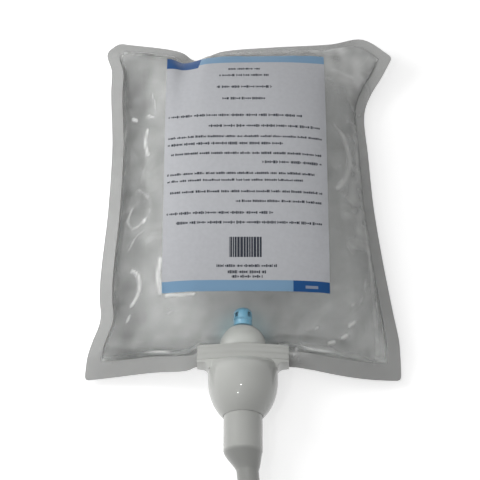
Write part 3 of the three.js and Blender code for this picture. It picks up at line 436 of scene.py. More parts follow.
    def painted_valve_light(self, x, y):
        """How far the painted blue light of the valve tints the back film."""
        middle, half_x, half_y = self.VALVE
        return np.exp(-(((x / half_x) ** 2 + ((y - middle) / half_y) ** 2) ** 1.5))

    def skin(self, x, y):
        """How much of the front film is seen: little over the spout and next to none where it is fused to the boat."""
        boat = smoothstep(self.boat + 1 - np.abs(x), 0, 1) * smoothstep(self.BOAT_TOP + 1 - y, 0, 1)
        return np.minimum(1 - self.FUSED * boat, lerp(self.OVER_SPOUT, 1, self.away_from_spout(x, y)))

    def folds(self, u, v, x, y):
        """Height of the folds that the back film makes over the table."""
        ridge = np.clip(1 - np.abs(ripple(x, y, "table folds")) / 0.16, 0, 1) ** 2
        return self.fold * ridge * smoothstep(self.inside(u, v), 0.3, 0.8) * smoothstep(y, 20, 45)

    def films(self, u, v):
        """Points of the weld sheet with the inner heights of the front and the back film."""
        point = self.weld(u, v)
        x, y, z = point[..., 0], point[..., 1], point[..., 2]
        across, along = self.fullness(u, v)
        slot = self.slot_gap(point)
        middle, half, deep, reach = self.DENT
        end = self.long - self.top * self.long
        dent = deep * np.clip(1 - np.abs(x - middle) / half, 0, None) * smoothstep(y, end - reach, end)
        up = np.hypot((self.high - self.film - z - dent) * across * along, slot)
        room = z - self.film
        spread = np.minimum(1, self.BACK_FLAT * across) * np.minimum(1, self.BACK_FLAT * along)
        down = np.minimum(room, np.hypot(room * spread, slot))
        front = z + up + self.creases(u, v, x, y) + self.WELD_GAP
        back = z - down + self.folds(u, v, x, y) - self.WELD_GAP
        return x, y, np.maximum(front, z + self.WELD_GAP), np.clip(back, self.film, z - self.WELD_GAP)

    def shares_at(self, x, y):
        """The shares (u, v) of the sheet under a place."""
        u, v = x / self.wide + 0.5, y / self.long
        for _ in range(self.SEEK_STEPS):
            point = self.weld(np.clip(u, 0, 1), np.clip(v, 0, 1))
            u, v = u + (x - point[..., 0]) / self.wide, v + (y - point[..., 1]) / self.long
        return u, v


def form_of(scene):
    return PouchForm(scene.pouch, scene.pouch_label, scene.pouch_pump)


def deselect_all():
    if bpy.context.object and bpy.context.object.mode != "OBJECT":
        bpy.ops.object.mode_set(mode="OBJECT")
    bpy.ops.object.select_all(action="DESELECT")


def select_only(*pieces):
    deselect_all()
    for piece in pieces:
        piece.select_set(True)
    bpy.context.view_layer.objects.active = pieces[0]


def place(points):
    """Millimetres from the pump's shoulder to metres in the part's frame."""
    return (np.asarray(points, float) - (0, ORIGIN_UP, 0)) * MM


def vertices_of(piece):
    spots = np.zeros(3 * len(piece.data.vertices))
    piece.data.vertices.foreach_get("co", spots)
    return spots.reshape(-1, 3)


def move_vertices(piece, spots):
    piece.data.vertices.foreach_set("co", np.ascontiguousarray(spots, float).ravel())
    piece.data.update()


def lay(piece, x, y, z):
    """Lays the vertices at places given in millimetres from the pump's shoulder."""
    move_vertices(piece, place(np.stack([x, y, z], axis=-1)))


def store(piece, key, values):
    piece.data.attributes.new(key, "FLOAT", "POINT").data.foreach_set("value", values)


def active_piece(name):
    piece = bpy.context.object
    piece.name = name
    piece.data.name = name
    return piece


def apply_modifier(piece, kind, **values):
    """Adds a modifier with the given values and applies it."""
    modifier = piece.modifiers.new(kind.title(), kind)
    for key, value in values.items():
        setattr(modifier, key, value)
    bpy.context.view_layer.objects.active = piece
    bpy.ops.object.modifier_apply(modifier=modifier.name)


def sheet_grid(name, columns, rows):
    """A flat grid with its own UV map, and the shares of each vertex across and along it."""
    deselect_all()
    bpy.ops.mesh.primitive_grid_add(x_subdivisions=columns, y_subdivisions=rows, size=2.0)
    piece = active_piece(name)
    spots = vertices_of(piece)
    return piece, (spots[:, 0] + 1) / 2, (spots[:, 1] + 1) / 2


def in_edit_mode(piece, *steps):
    """Runs edit-mode steps on the whole mesh of a piece."""
    select_only(piece)
    bpy.ops.object.mode_set(mode="EDIT")
    bpy.ops.mesh.select_mode(type="VERT")
    select_mesh()
    for step in steps:
        step()
    bpy.ops.object.mode_set(mode="OBJECT")


def select_mesh():
    bpy.ops.mesh.select_all(action="SELECT")


def select_open_edges():
    bpy.ops.mesh.select_mode(type="EDGE")
    bpy.ops.mesh.select_all(action="DESELECT")
    bpy.ops.mesh.select_non_manifold()


def extrude(*way):
    bpy.ops.mesh.extrude_region_move(TRANSFORM_OT_translate={"value": way})


def merge_doubles():
    bpy.ops.mesh.remove_doubles(threshold=1e-6)


def face_outwards():
    bpy.ops.mesh.normals_make_consistent(inside=False)


def smooth_shading(piece, degrees):
    select_only(piece)
    bpy.ops.object.shade_smooth_by_angle(angle=math.radians(degrees))


def dress(piece, body, slot, node, *finishes):
    """Gives a piece its finishes and its body, and hides the node that it stands for."""
    piece.data.materials.clear()
    for finish in finishes:
        piece.data.materials.append(finish)
    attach(piece, body)
    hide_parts(node)


def turned(name, outline, sides=96):
    """Draws an outline of (radius, height) points by extruding a vertex, and spins it round the pump's axis."""
    deselect_all()
    spots = [Vector(place((r, y, AXIS_HEIGHT))) for r, y in outline]
    bpy.ops.mesh.primitive_plane_add(size=MM, location=spots[0])
    piece = active_piece(name)
    bpy.ops.object.transform_apply(location=True, rotation=False, scale=False)

    def draw():
        bpy.ops.mesh.merge(type="CENTER")
        for here, there in zip(spots, spots[1:] + spots[:1]):
            extrude(*(there - here))
        select_mesh()
        merge_doubles()
        select_mesh()
        axis_foot = Vector(place((0, 0, AXIS_HEIGHT)))
        bpy.ops.mesh.spin(steps=sides, angle=2 * math.pi, center=axis_foot, axis=(0, 1, 0))
        select_mesh()
        merge_doubles()
        face_outwards()

    in_edit_mode(piece, draw)
    return piece


def pull(piece, *way):
    """Extrudes a flat outline into a closed bar."""

    def steps():
        extrude(*way)
        select_mesh()
        face_outwards()

    in_edit_mode(piece, steps)


def flat_outline(name, corners):
    """A flat many-cornered face, to be moved into shape."""
    deselect_all()
    bpy.ops.mesh.primitive_circle_add(vertices=corners, radius=1.0, fill_type="NGON")
    return active_piece(name)


def bevel(piece, width, segments):
    """Rounds the sharp edges, in millimetres."""
    limit = math.radians(50)
    apply_modifier(piece, "BEVEL", width=width * MM, segments=segments, limit_method="ANGLE", angle_limit=limit)


def arc(radius, rise, height, start, end, steps=14):
    """Points on an ellipse about the axis, from one angle to another up from the radius."""
    angles = np.linspace(start, end, steps + 1)
    return [(radius * math.cos(t), height + rise * math.sin(t)) for t in angles]


def joined(name, *pieces):
    """Several closed bodies as one piece."""
    select_only(*pieces)
    bpy.ops.object.join()
    return active_piece(name)


def combine(piece, other, operation):
    """Adds or cuts another body by a boolean, and removes it."""
    apply_modifier(piece, "BOOLEAN", object=other, operation=operation, solver="EXACT")
    bpy.data.objects.remove(other, do_unlink=True)


class Nodes:
    """Fills the node tree of a material or a world."""

    def __init__(self, owner):
        owner.use_nodes = True
        self.nodes, self.links = owner.node_tree.nodes, owner.node_tree.links
        self.nodes.clear()

    def add(self, kind, **values):
        node = self.nodes.new(kind)
        for key, value in values.items():
            setattr(node, key, value)
        return node

    def link(self, node, out, target, socket):
        self.links.new(node.outputs[out], target.inputs[socket])

    def put(self, target, socket, value):
        """Sets a socket to a number or colour, or links it to a node's output."""
        if isinstance(value, bpy.types.NodeSocket):
            self.links.new(value, target.inputs[socket])
        else:
            target.inputs[socket].default_value = value

    def math(self, operation, first, second=0.0, clamp=False):
        node = self.add("ShaderNodeMath", operation=operation, use_clamp=clamp)
        self.put(node, 0, first)
        self.put(node, 1, second)
        return node.outputs[0]

    def times(self, first, *others):
        for other in others:
            first = self.math("MULTIPLY", first, other)
        return first

    def either(self, first, *others):
        for other in others:
            first = self.math("MAXIMUM", first, other)
        return first

    def between(self, value, low, high):
        return self.times(self.math("GREATER_THAN", value, low), self.math("LESS_THAN", value, high))


# Noises of the finishes: scale and detail
NOISES = {
    "plastic cloud": (35, 4), "plastic gloss": (180, 2), "plastic grain": (2600, 2), "wire gloss": (900, 2),
    "wire grain": (3000, 2), "film cloud": (28, 5), "film gloss": (90, 3), "film grain": (220, 3),
    "film haze": (18, 4), "inner haze": (40, 3), "rub grain": (60, 3), "paper cloud": (420, 4),
    "paper gloss": (160, 3), "paper grain": (900, 4),
}


class Finish(Nodes):
    """Builds one node material."""

    NOISE_MIDDLE = (0.3, 0.7)

    def __init__(self, name):
        self.material = bpy.data.materials.new(name)
        super().__init__(self.material)
        self.output = self.add("ShaderNodeOutputMaterial")
        self.shader = self.add("ShaderNodeBsdfPrincipled")
        self.link(self.shader, "BSDF", self.output, "Surface")

    def mix(self, factor, first, second):
        node = self.add("ShaderNodeMix", data_type="RGBA")
        self.put(node, 0, factor)
        self.put(node, 6, first)
        self.put(node, 7, second)
        return node.outputs[2]

    def noise(self, kind):
        node = self.add("ShaderNodeTexNoise")
        self.link(self.add("ShaderNodeTexCoord"), "Object", node, "Vector")
        for socket, number in zip(("Scale", "Detail"), NOISES[kind]):
            self.put(node, socket, number)
        return node.outputs["Fac"]

    def axes(self, kind):
        """The single numbers of the Object or UV coordinates."""
        node = self.add("ShaderNodeSeparateXYZ")
        self.link(self.add("ShaderNodeTexCoord"), kind, node, "Vector")
        return node.outputs

    def field(self, key):
        """A number that the piece's own mesh carries."""
        return self.add("ShaderNodeAttribute", attribute_name=key).outputs["Fac"]

    def spread(self, value, low, high):
        """Maps the middle of a noise to a range."""
        node = self.add("ShaderNodeMapRange")
        sockets = ("Value", "From Min", "From Max", "To Min", "To Max")
        for socket, number in zip(sockets, (value, *self.NOISE_MIDDLE, low, high)):
            self.put(node, socket, number)
        return node.outputs[0]

    def clear(self, tone=(1.0, 1.0, 1.0, 1.0)):
        node = self.add("ShaderNodeBsdfTransparent")
        self.put(node, "Color", tone)
        return node

    def layer(self, factor, first, second):
        """Puts a mix of two shaders on the surface."""
        node = self.add("ShaderNodeMixShader")
        self.put(node, 0, factor)
        self.link(first, 0, node, 1)
        self.link(second, 0, node, 2)
        self.link(node, 0, self.output, "Surface")

    def bump(self, height, strength, distance):
        node = self.add("ShaderNodeBump")
        self.put(node, "Strength", strength)
        self.put(node, "Distance", distance)
        self.put(node, "Height", height)
        self.put(self.shader, "Normal", node.outputs[0])

    def set(self, **values):
        """Sets or links the shader's sockets, named with _ for each space."""
        for key, value in values.items():
            self.put(self.shader, key.replace("_", " "), value)


def shade_of(tone, factor):
    return (*(min(1.0, c * factor) for c in tone), 1.0)


def plastic(name, tone, roughness=0.4, grain=0.25, fade=None, coat=0.1):
    """Moulded plastic: faint cloudy tone, uneven gloss and a fine moulded grain.

    fade paints shade: it gives two heights along the part, in millimetres, and how dark the painted shade makes the
    tone past the second one.
    """
    finish, uneven = Finish(name), 0.06
    tint = finish.mix(finish.spread(finish.noise("plastic cloud"), 0, 1), shade_of(tone, 0.95), shade_of(tone, 1.04))
    # painted shade: the tone darkens past the second height
    if fade:
        start, end = ((height - ORIGIN_UP) * MM for height in fade[:2])
        past = finish.math("SUBTRACT", finish.axes("Object")["Y"], start)
        tint = finish.mix(finish.math("DIVIDE", past, end - start, clamp=True), tint, shade_of(tone, fade[2]))
    gloss = finish.spread(finish.noise("plastic gloss"), roughness - uneven, roughness + uneven)
    finish.set(Base_Color=tint, Roughness=gloss, Specular_IOR_Level=0.5, Coat_Weight=0.8, Coat_Roughness=coat)
    finish.bump(finish.noise("plastic grain"), grain, 0.02 * MM)
    return finish.material


def steel(name):
    """Bright drawn wire."""
    finish = Finish(name)
    finish.set(Base_Color=(0.55, 0.56, 0.57, 1), Metallic=1.0)
    finish.set(Roughness=finish.spread(finish.noise("wire gloss"), 0.22, 0.36))
    finish.bump(finish.noise("wire grain"), 0.1, 0.03 * MM)
    return finish.material


WELD_START = 0.46  # of the film's UV map, out from its middle
# painted light: the blue glow of the valve, painted onto the back film
PAINTED_VALVE_GLOW = (0.19, 0.37, 0.41, 1)


def film_finish(name, tone, haze, uneven, roughness, weld_shade, gloss):
    """Clear film: a glossy skin with a little haze over what lies behind it, and greyer welds."""
    finish = Finish(name)
    spots = finish.axes("UV")
    off_middle = [finish.math("ABSOLUTE", finish.math("SUBTRACT", spots[k], 0.5)) for k in (0, 1)]
    weld = finish.math("GREATER_THAN", finish.either(*off_middle), WELD_START)
    belly = finish.mix(finish.spread(finish.noise("film cloud"), 0, 1), shade_of(tone, 0.93), shade_of(tone, 1.05))
    # painted shade: the back film's tone darkened by the painted shade field
    belly = finish.mix(finish.field("painted_shade_field"), belly, shade_of(tone, 0.1))
    # painted light of the valve mixed into the back film's tone
    belly = finish.mix(finish.times(finish.field("painted_valve_light"), 0.6), belly, PAINTED_VALVE_GLOW)
    finish.set(Base_Color=finish.mix(weld, belly, shade_of(tone, weld_shade)), IOR=1.5, Specular_IOR_Level=gloss)
    finish.set(Roughness=finish.spread(finish.noise("film gloss"), roughness * 0.7, roughness * 1.3))
    finish.bump(finish.noise("film grain"), 0.35, 0.4 * MM)
    skin = finish.add("ShaderNodeLayerWeight")
    finish.put(skin, "Blend", 0.25)
    veil = finish.spread(finish.noise("film haze"), haze - uneven, haze + uneven)
    veil = finish.math("ADD", veil, finish.field("veil"))
    veil = finish.math("ADD", veil, finish.times(skin.outputs["Fresnel"], 0.25))
    seen = finish.math("MULTIPLY", veil, finish.field("skin"), clamp=True)
    finish.layer(seen, finish.clear(), finish.shader)
    return finish.material


def clear_finish(name):
    """The inner wall of a clear film, wet by the hand rub."""
    finish = Finish(name)
    finish.set(Base_Color=(0.7, 0.71, 0.71, 1), Roughness=0.3)
    finish.layer(finish.spread(finish.noise("inner haze"), 0.01, 0.04), finish.clear(), finish.shader)
    return finish.material


def rub_finish(name, tone):
    """Clear liquid that lets the lamps through."""
    finish = Finish(name)
    finish.set(Base_Color=(*tone, 1.0), Roughness=finish.spread(finish.field("rim"), 0.08, 0.35))
    finish.set(IOR=1.045, Transmission_Weight=1.0)
    finish.bump(finish.noise("rub grain"), 0.2, 0.6 * MM)
    shadow = finish.add("ShaderNodeLightPath").outputs["Is Shadow Ray"]
    finish.layer(shadow, finish.shader, finish.clear((0.99, 0.99, 0.99, 1)))
    return finish.material


# Rows of plain dashes on the label: middle, half height, left end and right end, as shares of the label
DASH_ROWS = [
    (0.9183, 0.006, 0.39, 0.59), (0.8844, 0.006, 0.335, 0.645), (0.8263, 0.009, 0.32, 0.665),
    (0.7713, 0.009, 0.355, 0.63), (0.6968, 0.0065, 0.02, 0.85), (0.6506, 0.0075, 0.27, 0.965),
    (0.605, 0.0065, 0.02, 0.97), (0.5764, 0.0065, 0.02, 0.73), (0.5353, 0.0075, 0.04, 0.965),
    (0.4994, 0.0075, 0.6, 0.965), (0.4528, 0.0065, 0.02, 0.92), (0.4247, 0.0065, 0.02, 0.85),
    (0.379, 0.0075, 0.04, 0.965), (0.3399, 0.0075, 0.44, 0.965), (0.2947, 0.0065, 0.02, 0.665),
    (0.2565, 0.0075, 0.08, 0.96), (0.0905, 0.0065, 0.325, 0.685), (0.0682, 0.006, 0.385, 0.62),
    (0.0515, 0.006, 0.415, 0.6),
]
RAMP_STOPS = 32  # the most that one colour ramp holds, so the rows are shared between two ramps
ROW_STEP = 611.0  # sets the dashes of each row at places of their own
GROUPS, DASHES, BARS = (13.0, 0.05), (90.0, 0.1), (62.0, 0.1)  # how many cells across the label, and their gaps
DASH_HEIGHTS = (0.0025, 0.0065)  # half heights of the dashes
BAR_FIELD = ((0.4, 0.595), (0.123, 0.200))  # its sides and its ends
BANDS = (0.039, 0.957)  # the top of the low band and the foot of the high one
LOW_BLOCK = 0.782  # left side of the block on the low band
BLOCK_DASH = ((0.855, 0.93), (0.012, 0.022))  # sides and ends of the pale dash on that block
HIGH_BLOCK = (0.94, 0.35, -0.13)  # foot, slant and end of the block on the high band


def row_table(finish, rows, along):
    """A stepped ramp with the ends, number and middle of the dash row at a place along the label."""
    node = finish.add("ShaderNodeValToRGB")
    node.color_ramp.interpolation = "CONSTANT"
    stops = [(0.0, (0, 0, 0, 0))]
    for k, (middle, half, left, right) in enumerate(sorted(rows)):
        stops += [(middle - half, (left, right, (k + 1) / RAMP_STOPS, middle)), (middle + half, (0, 0, 0, 0))]
    elements = node.color_ramp.elements
    while len(elements) < len(stops):
        elements.new(1.0)
    for element, (position, value) in zip(elements, stops):
        element.position = position
        element.color = value
    finish.put(node, "Fac", along)
    parts = finish.add("ShaderNodeSeparateColor")
    finish.link(node, "Color", parts, "Color")
    return [*(parts.outputs[k] for k in range(3)), node.outputs["Alpha"]]


def cells(finish, value, feature):
    """Cells of uneven length, about one long, along a line."""
    node = finish.add("ShaderNodeTexVoronoi", voronoi_dimensions="1D", feature=feature)
    finish.put(node, "W", value)
    finish.put(node, "Scale", 1.0)
    return node


def cells_along(finish, value, gap):
    """One inside the cells and zero in the gaps between them."""
    return finish.math("GREATER_THAN", cells(finish, value, "DISTANCE_TO_EDGE").outputs["Distance"], gap)


def height_along(finish, value, low, high):
    """A different height for each cell."""
    parts = finish.add("ShaderNodeSeparateColor")
    finish.link(cells(finish, value, "F1"), "Color", parts, "Color")
    return finish.math("ADD", finish.times(parts.outputs[0], high - low), low)


def dash_ink(finish, rows, across, along):
    """One on the plain dashes of some rows."""
    left, right, number, middle = row_table(finish, rows, along)
    start = finish.times(number, ROW_STEP)
    (groups, group_gap), (dashes, dash_gap) = GROUPS, DASHES
    group_at = finish.math("ADD", finish.times(across, groups), start)
    dash_at = finish.math("ADD", finish.times(across, dashes), start)
    off = finish.math("ABSOLUTE", finish.math("SUBTRACT", along, middle))
    inside = finish.math("LESS_THAN", off, height_along(finish, dash_at, *DASH_HEIGHTS))
    drawn = finish.times(cells_along(finish, group_at, group_gap), cells_along(finish, dash_at, dash_gap))
    in_row = finish.math("GREATER_THAN", number, 0.001)
    return finish.times(finish.between(across, left, right), drawn, inside, in_row)


def label_finish(name, settings):
    """Satin paper with blue end bands, rows of plain dashes and a field of plain bars."""
    finish = Finish(name)
    across, along, _ = finish.axes("UV")
    patch = lambda sides, ends: finish.times(finish.between(across, *sides), finish.between(along, *ends))
    half = len(DASH_ROWS) // 2
    dashes = [dash_ink(finish, rows, across, along) for rows in (DASH_ROWS[:half], DASH_ROWS[half:])]
    count, gap = BARS
    bars = finish.times(patch(*BAR_FIELD), cells_along(finish, finish.times(across, count), gap))
    fibre = finish.spread(finish.noise("paper cloud"), 0, 1)
    tone = finish.mix(fibre, shade_of(settings.paper, 0.97), shade_of(settings.paper, 1.03))
    tone = finish.mix(finish.either(*dashes, bars), tone, (*settings.ink, 1))
    low_band, high_band = (finish.math(test, along, end) for test, end in zip(("LESS_THAN", "GREATER_THAN"), BANDS))
    tone = finish.mix(finish.either(low_band, high_band), tone, (*settings.pale, 1))
    low_block = finish.times(low_band, finish.math("GREATER_THAN", across, LOW_BLOCK))
    foot, slant, end = HIGH_BLOCK
    slanted = finish.math("SUBTRACT", across, finish.times(along, slant))
    high_block = finish.times(finish.math("GREATER_THAN", along, foot), finish.math("LESS_THAN", slanted, end))
    tone = finish.mix(finish.either(low_block, high_block), tone, (*settings.dark, 1))
    tone = finish.mix(finish.times(patch(*BLOCK_DASH), 0.5), tone, (*settings.paper, 1))
    finish.set(Base_Color=tone, Roughness=finish.spread(finish.noise("paper gloss"), 0.38, 0.5))
    finish.set(Specular_IOR_Level=0.25)
    finish.bump(finish.noise("paper grain"), 0.12, 0.05 * MM)
    return finish.material


class PouchOperator:
    """What all the operators of this panel share."""

    bl_options = {"REGISTER", "UNDO"}


class POUCH_OT_stage(PouchOperator, bpy.types.Operator):
    """Set the pale floor, the lamps and the camera"""

    bl_idname = "pouch.stage"
    bl_label = "Stage"

    CAMERA = (-0.001777, -0.549707, 1.034319)
    SENSOR, NEAR, FAR = 36.0, 0.05, 50.0
    FLOOR_SIZE, FLOOR_DROP, FLOOR_GLOW = 8.0, 0.0004, 0.66
    LAMPS = [  # name, place, size, share of the left lamp's power, and whether gloss shows it
        ("key_lamp", (-0.31, 0.05, 0.31), 0.25, 1.0, False),
        ("front_lamp", (-0.3, -0.12, 0.87), 0.4, 0.6, False),
        ("small_lamp", (-0.24, -0.5, 0.75), 0.03, 0.3, True),
        ("spot_lamp", (-0.12, -0.3, 0.85), 0.025, 0.2, True),
    ]

    def execute(self, context):
        scene, stage = context.scene, context.scene.pouch_stage
        deselect_all()
        bpy.ops.object.camera_add(location=self.CAMERA, rotation=(stage.tilt, 0, 0))
        camera = context.object
        camera.data.lens, camera.data.sensor_width = stage.lens, self.SENSOR
        camera.data.clip_start, camera.data.clip_end = self.NEAR, self.FAR
        scene.camera = camera
        self.floor()
        self.world(scene, stage.fill)
        for name, location, size, part, mirrored in self.LAMPS:
            self.lamp(name, location, size, stage.key * part, mirrored)
        scene.view_settings.view_transform = "Standard"
        scene.cycles.caustics_reflective = False
        scene.cycles.caustics_refractive = True
        scene.cycles.transparent_max_bounces = 24
        scene.cycles.use_denoising = True
        return {"FINISHED"}

    @staticmethod
    def lamp(name, location, size, power, mirrored):
        bpy.ops.object.light_add(type="AREA", location=location)
        lamp = bpy.context.object
        lamp.name = name
        lamp.data.size, lamp.data.energy = size, power
        lamp.visible_glossy = mirrored
        lamp.rotation_euler = (-Vector(location)).to_track_quat("-Z", "Y").to_euler()

    @staticmethod
    def seen(nodes):
        """One for rays from the camera, a gloss or a clear body, and zero for the light that falls on things."""
        path = nodes.add("ShaderNodeLightPath")
        return nodes.either(*(path.outputs[f"Is {kind} Ray"] for kind in ("Camera", "Glossy", "Transmission")))

    def floor(self):
        deselect_all()
        bpy.ops.mesh.primitive_plane_add(size=self.FLOOR_SIZE, location=(0, 0, -self.FLOOR_DROP))
        floor = active_piece("floor")
        bpy.ops.object.transform_apply(location=True, rotation=False, scale=False)
        finish = Finish("pale_floor")
        finish.set(Base_Color=(0.86, 0.86, 0.86, 1), Roughness=0.9, Specular_IOR_Level=0.0)
        finish.set(Emission_Color=(1, 1, 1, 1), Emission_Strength=finish.times(self.seen(finish), self.FLOOR_GLOW))
        floor.data.materials.append(finish.material)

    def world(self, scene, fill):
        """A white room that lights the object only by the fill."""
        scene.world = bpy.data.worlds.new("pale_room")
        room = Nodes(scene.world)
        back = room.add("ShaderNodeBackground")
        room.put(back, "Color", (1, 1, 1, 1))
        room.put(back, "Strength", room.math("ADD", room.times(self.seen(room), 1.0 - fill), fill))
        room.link(back, 0, room.add("ShaderNodeOutputWorld"), "Surface")


def round_corners(form, u, v, radius=2.5):
    """Draws the shares near each corner in onto a round corner."""
    near_u, near_v = np.minimum(u, 1 - u), np.minimum(v, 1 - v)
    out_u, out_v = radius - near_u * form.wide, radius - near_v * form.long
    corner = (out_u > 0) & (out_v > 0)
    draw = np.where(corner, np.maximum(out_u, out_v) / np.maximum(np.hypot(out_u, out_v), 1e-9), 1.0)
    near_u = np.where(corner, (radius - out_u * draw) / form.wide, near_u)
    near_v = np.where(corner, (radius - out_v * draw) / form.long, near_v)
    return np.where(u < 0.5, near_u, 1 - near_u), np.where(v < 0.5, near_v, 1 - near_v)


def graded(share_of, weld_low, weld_high):
    """Brings grid lines closer together beside the welds, with one line on each weld."""
    lines, places = (0, 0.04, 0.16, 0.5, 0.84, 0.96, 1), (0, weld_low, 0.1, 0.5, 0.9, 1 - weld_high, 1)
    return np.interp(share_of, lines, places)


class POUCH_OT_films(PouchOperator, bpy.types.Operator):
    """Build the two welded films of the pouch"""

    bl_idname = "pouch.films"
    bl_label = "Films"

    FRONT_CELLS, BACK_CELLS = (150, 200), (100, 100)

    def execute(self, context):
        pouch, form = context.scene.pouch, form_of(context.scene)
        inner = clear_finish("film_inner")
        front = film_finish(
            "film_front", pouch.film_colour, pouch.haze, uneven=0.025, roughness=0.22, weld_shade=0.7, gloss=1.0
        )
        back = film_finish(
            "film_back", pouch.back_haze_and_shade, pouch.back_haze, uneven=0.04, roughness=0.35, weld_shade=1.48, gloss=0.2
        )
        self.film(form, pouch, "front_film", self.FRONT_CELLS, 1, (front, inner))
        self.film(form, pouch, "back_film", self.BACK_CELLS, -1, (back, inner))
        return {"FINISHED"}

    @staticmethod
    def film(form, pouch, name, cells, way, finishes):
        piece, across, along = sheet_grid(name, *cells)
        u, v = round_corners(form, graded(across, form.side, form.side), graded(along, form.foot, form.top))
        x, y, front, back = form.films(u, v)
        # painted shade on the back film, inside the welds
        none, painted_shade_field = np.zeros_like(x), form.painted_shade_amount(x, y) * (form.inside(u, v) > 0)
        on_front = {"veil": form.veil(u, v, x, y), "skin": form.skin(x, y), "painted_shade_field": none, "painted_valve_light": none}
        # the back film carries the painted shade and the painted light of the valve
        on_back = {"veil": none, "skin": none + 1, "painted_shade_field": painted_shade_field, "painted_valve_light": form.painted_valve_light(x, y)}
        for key, values in (on_front if way > 0 else on_back).items():
            store(piece, key, values)
        lay(piece, x, y, front + form.film if way > 0 else back - form.film)
        if way < 0:
            in_edit_mode(piece, bpy.ops.mesh.flip_normals)
        dress(piece, BODY, "film", "pouch_film", *finishes)
        apply_modifier(piece, "SOLIDIFY", thickness=pouch.film, offset=-1.0, material_offset=1)
        smooth_shading(piece, 60)


class POUCH_OT_hand_rub(PouchOperator, bpy.types.Operator):
    """Fill the pouch with hand rub"""

    bl_idname = "pouch.hand_rub"
    bl_label = "Hand rub"

    CELLS = (110, 130)
    GAP = 0.5  # from the liquid to each film, in millimetres
    MARGIN = 0.004  # from the liquid to the welds, as a share of the sheet
    FILL = 0.5  # the fullness at which the liquid reaches the films

    def execute(self, context):
        form = form_of(context.scene)
        sides = [self.face(form, f"rub_{name}", way) for name, way in (("front", 1), ("back", -1))]
        piece = joined("hand_rub_fill", *sides)
        in_edit_mode(piece, self.close_rim, face_outwards)
        dress(piece, BODY, "rub", "hand_rub", rub_finish("hand_rub", context.scene.pouch.rub_colour))
        smooth_shading(piece, 60)
        return {"FINISHED"}

    def face(self, form, name, way):
        piece, across, along = sheet_grid(name, *self.CELLS)
        soft = lambda s: np.interp(s, (0, 0.12, 0.5, 0.88, 1), (0, 0.06, 0.5, 0.94, 1))
        u = lerp(form.side + self.MARGIN, 1 - form.side - self.MARGIN, soft(across))
        v = lerp(form.foot + self.MARGIN / 4, 1 - form.top - self.MARGIN, soft(along))
        x, y, front, back = form.films(u, v)
        gap = np.minimum(self.GAP, (front - back) / 4)
        fill = smoothstep(form.inside(u, v), -0.05, self.FILL)
        fill = np.maximum(fill, 1 - form.away_from_spout(x, y))
        lay(piece, x, y, lerp((front + back) / 2, front - gap if way > 0 else back + gap, fill))
        store(piece, "rim", 1 - fill)
        return piece

    @staticmethod
    def close_rim():
        select_open_edges()
        bpy.ops.mesh.bridge_edge_loops()
        select_mesh()


class POUCH_OT_label(PouchOperator, bpy.types.Operator):
    """Lay the printed label on the front film"""

    bl_idname = "pouch.label"
    bl_label = "Label"

    CELLS = (90, 150)
    GLUE = 0.2  # from the film to the label, in millimetres

    def execute(self, context):
        settings, form = context.scene.pouch_label, form_of(context.scene)
        piece, across, along = sheet_grid("paper_label", *self.CELLS)
        x = settings.shift / MM + (across - 0.5) * settings.width / MM
        y = settings.foot / MM + along * settings.length / MM
        x, y, front, _ = form.films(*form.shares_at(x, y))
        lay(piece, x, y, front + form.film + self.GLUE + settings.thickness / MM)
        dress(piece, BODY, "label", "label", label_finish("label_print", settings))
        apply_modifier(piece, "SOLIDIFY", thickness=settings.thickness, offset=-1.0)
        smooth_shading(piece, 60)
        return {"FINISHED"}


def boat_outline(name, pump, height):
    """The flat outline of the weld base across the pump's axis: a circle drawn out to a bar with cut ends."""
    piece = flat_outline(name, 128)
    spots = vertices_of(piece)
    half, mid, tip = (size / MM / 2 for size in (pump.boat_span, pump.boat_thickness, pump.boat_end))
    x = half * np.clip(spots[:, 0] * 1.12, -1, 1)
    deep = lerp(tip, mid, 1 - (x / half) ** 2)
    side = np.clip(spots[:, 1] / 0.45, -1, 1)
    z = np.where(np.abs(x) >= half - 1e-6, side * tip, np.sign(spots[:, 1]) * deep)
    lay(piece, x, np.full_like(x, height), AXIS_HEIGHT - z)
    return piece


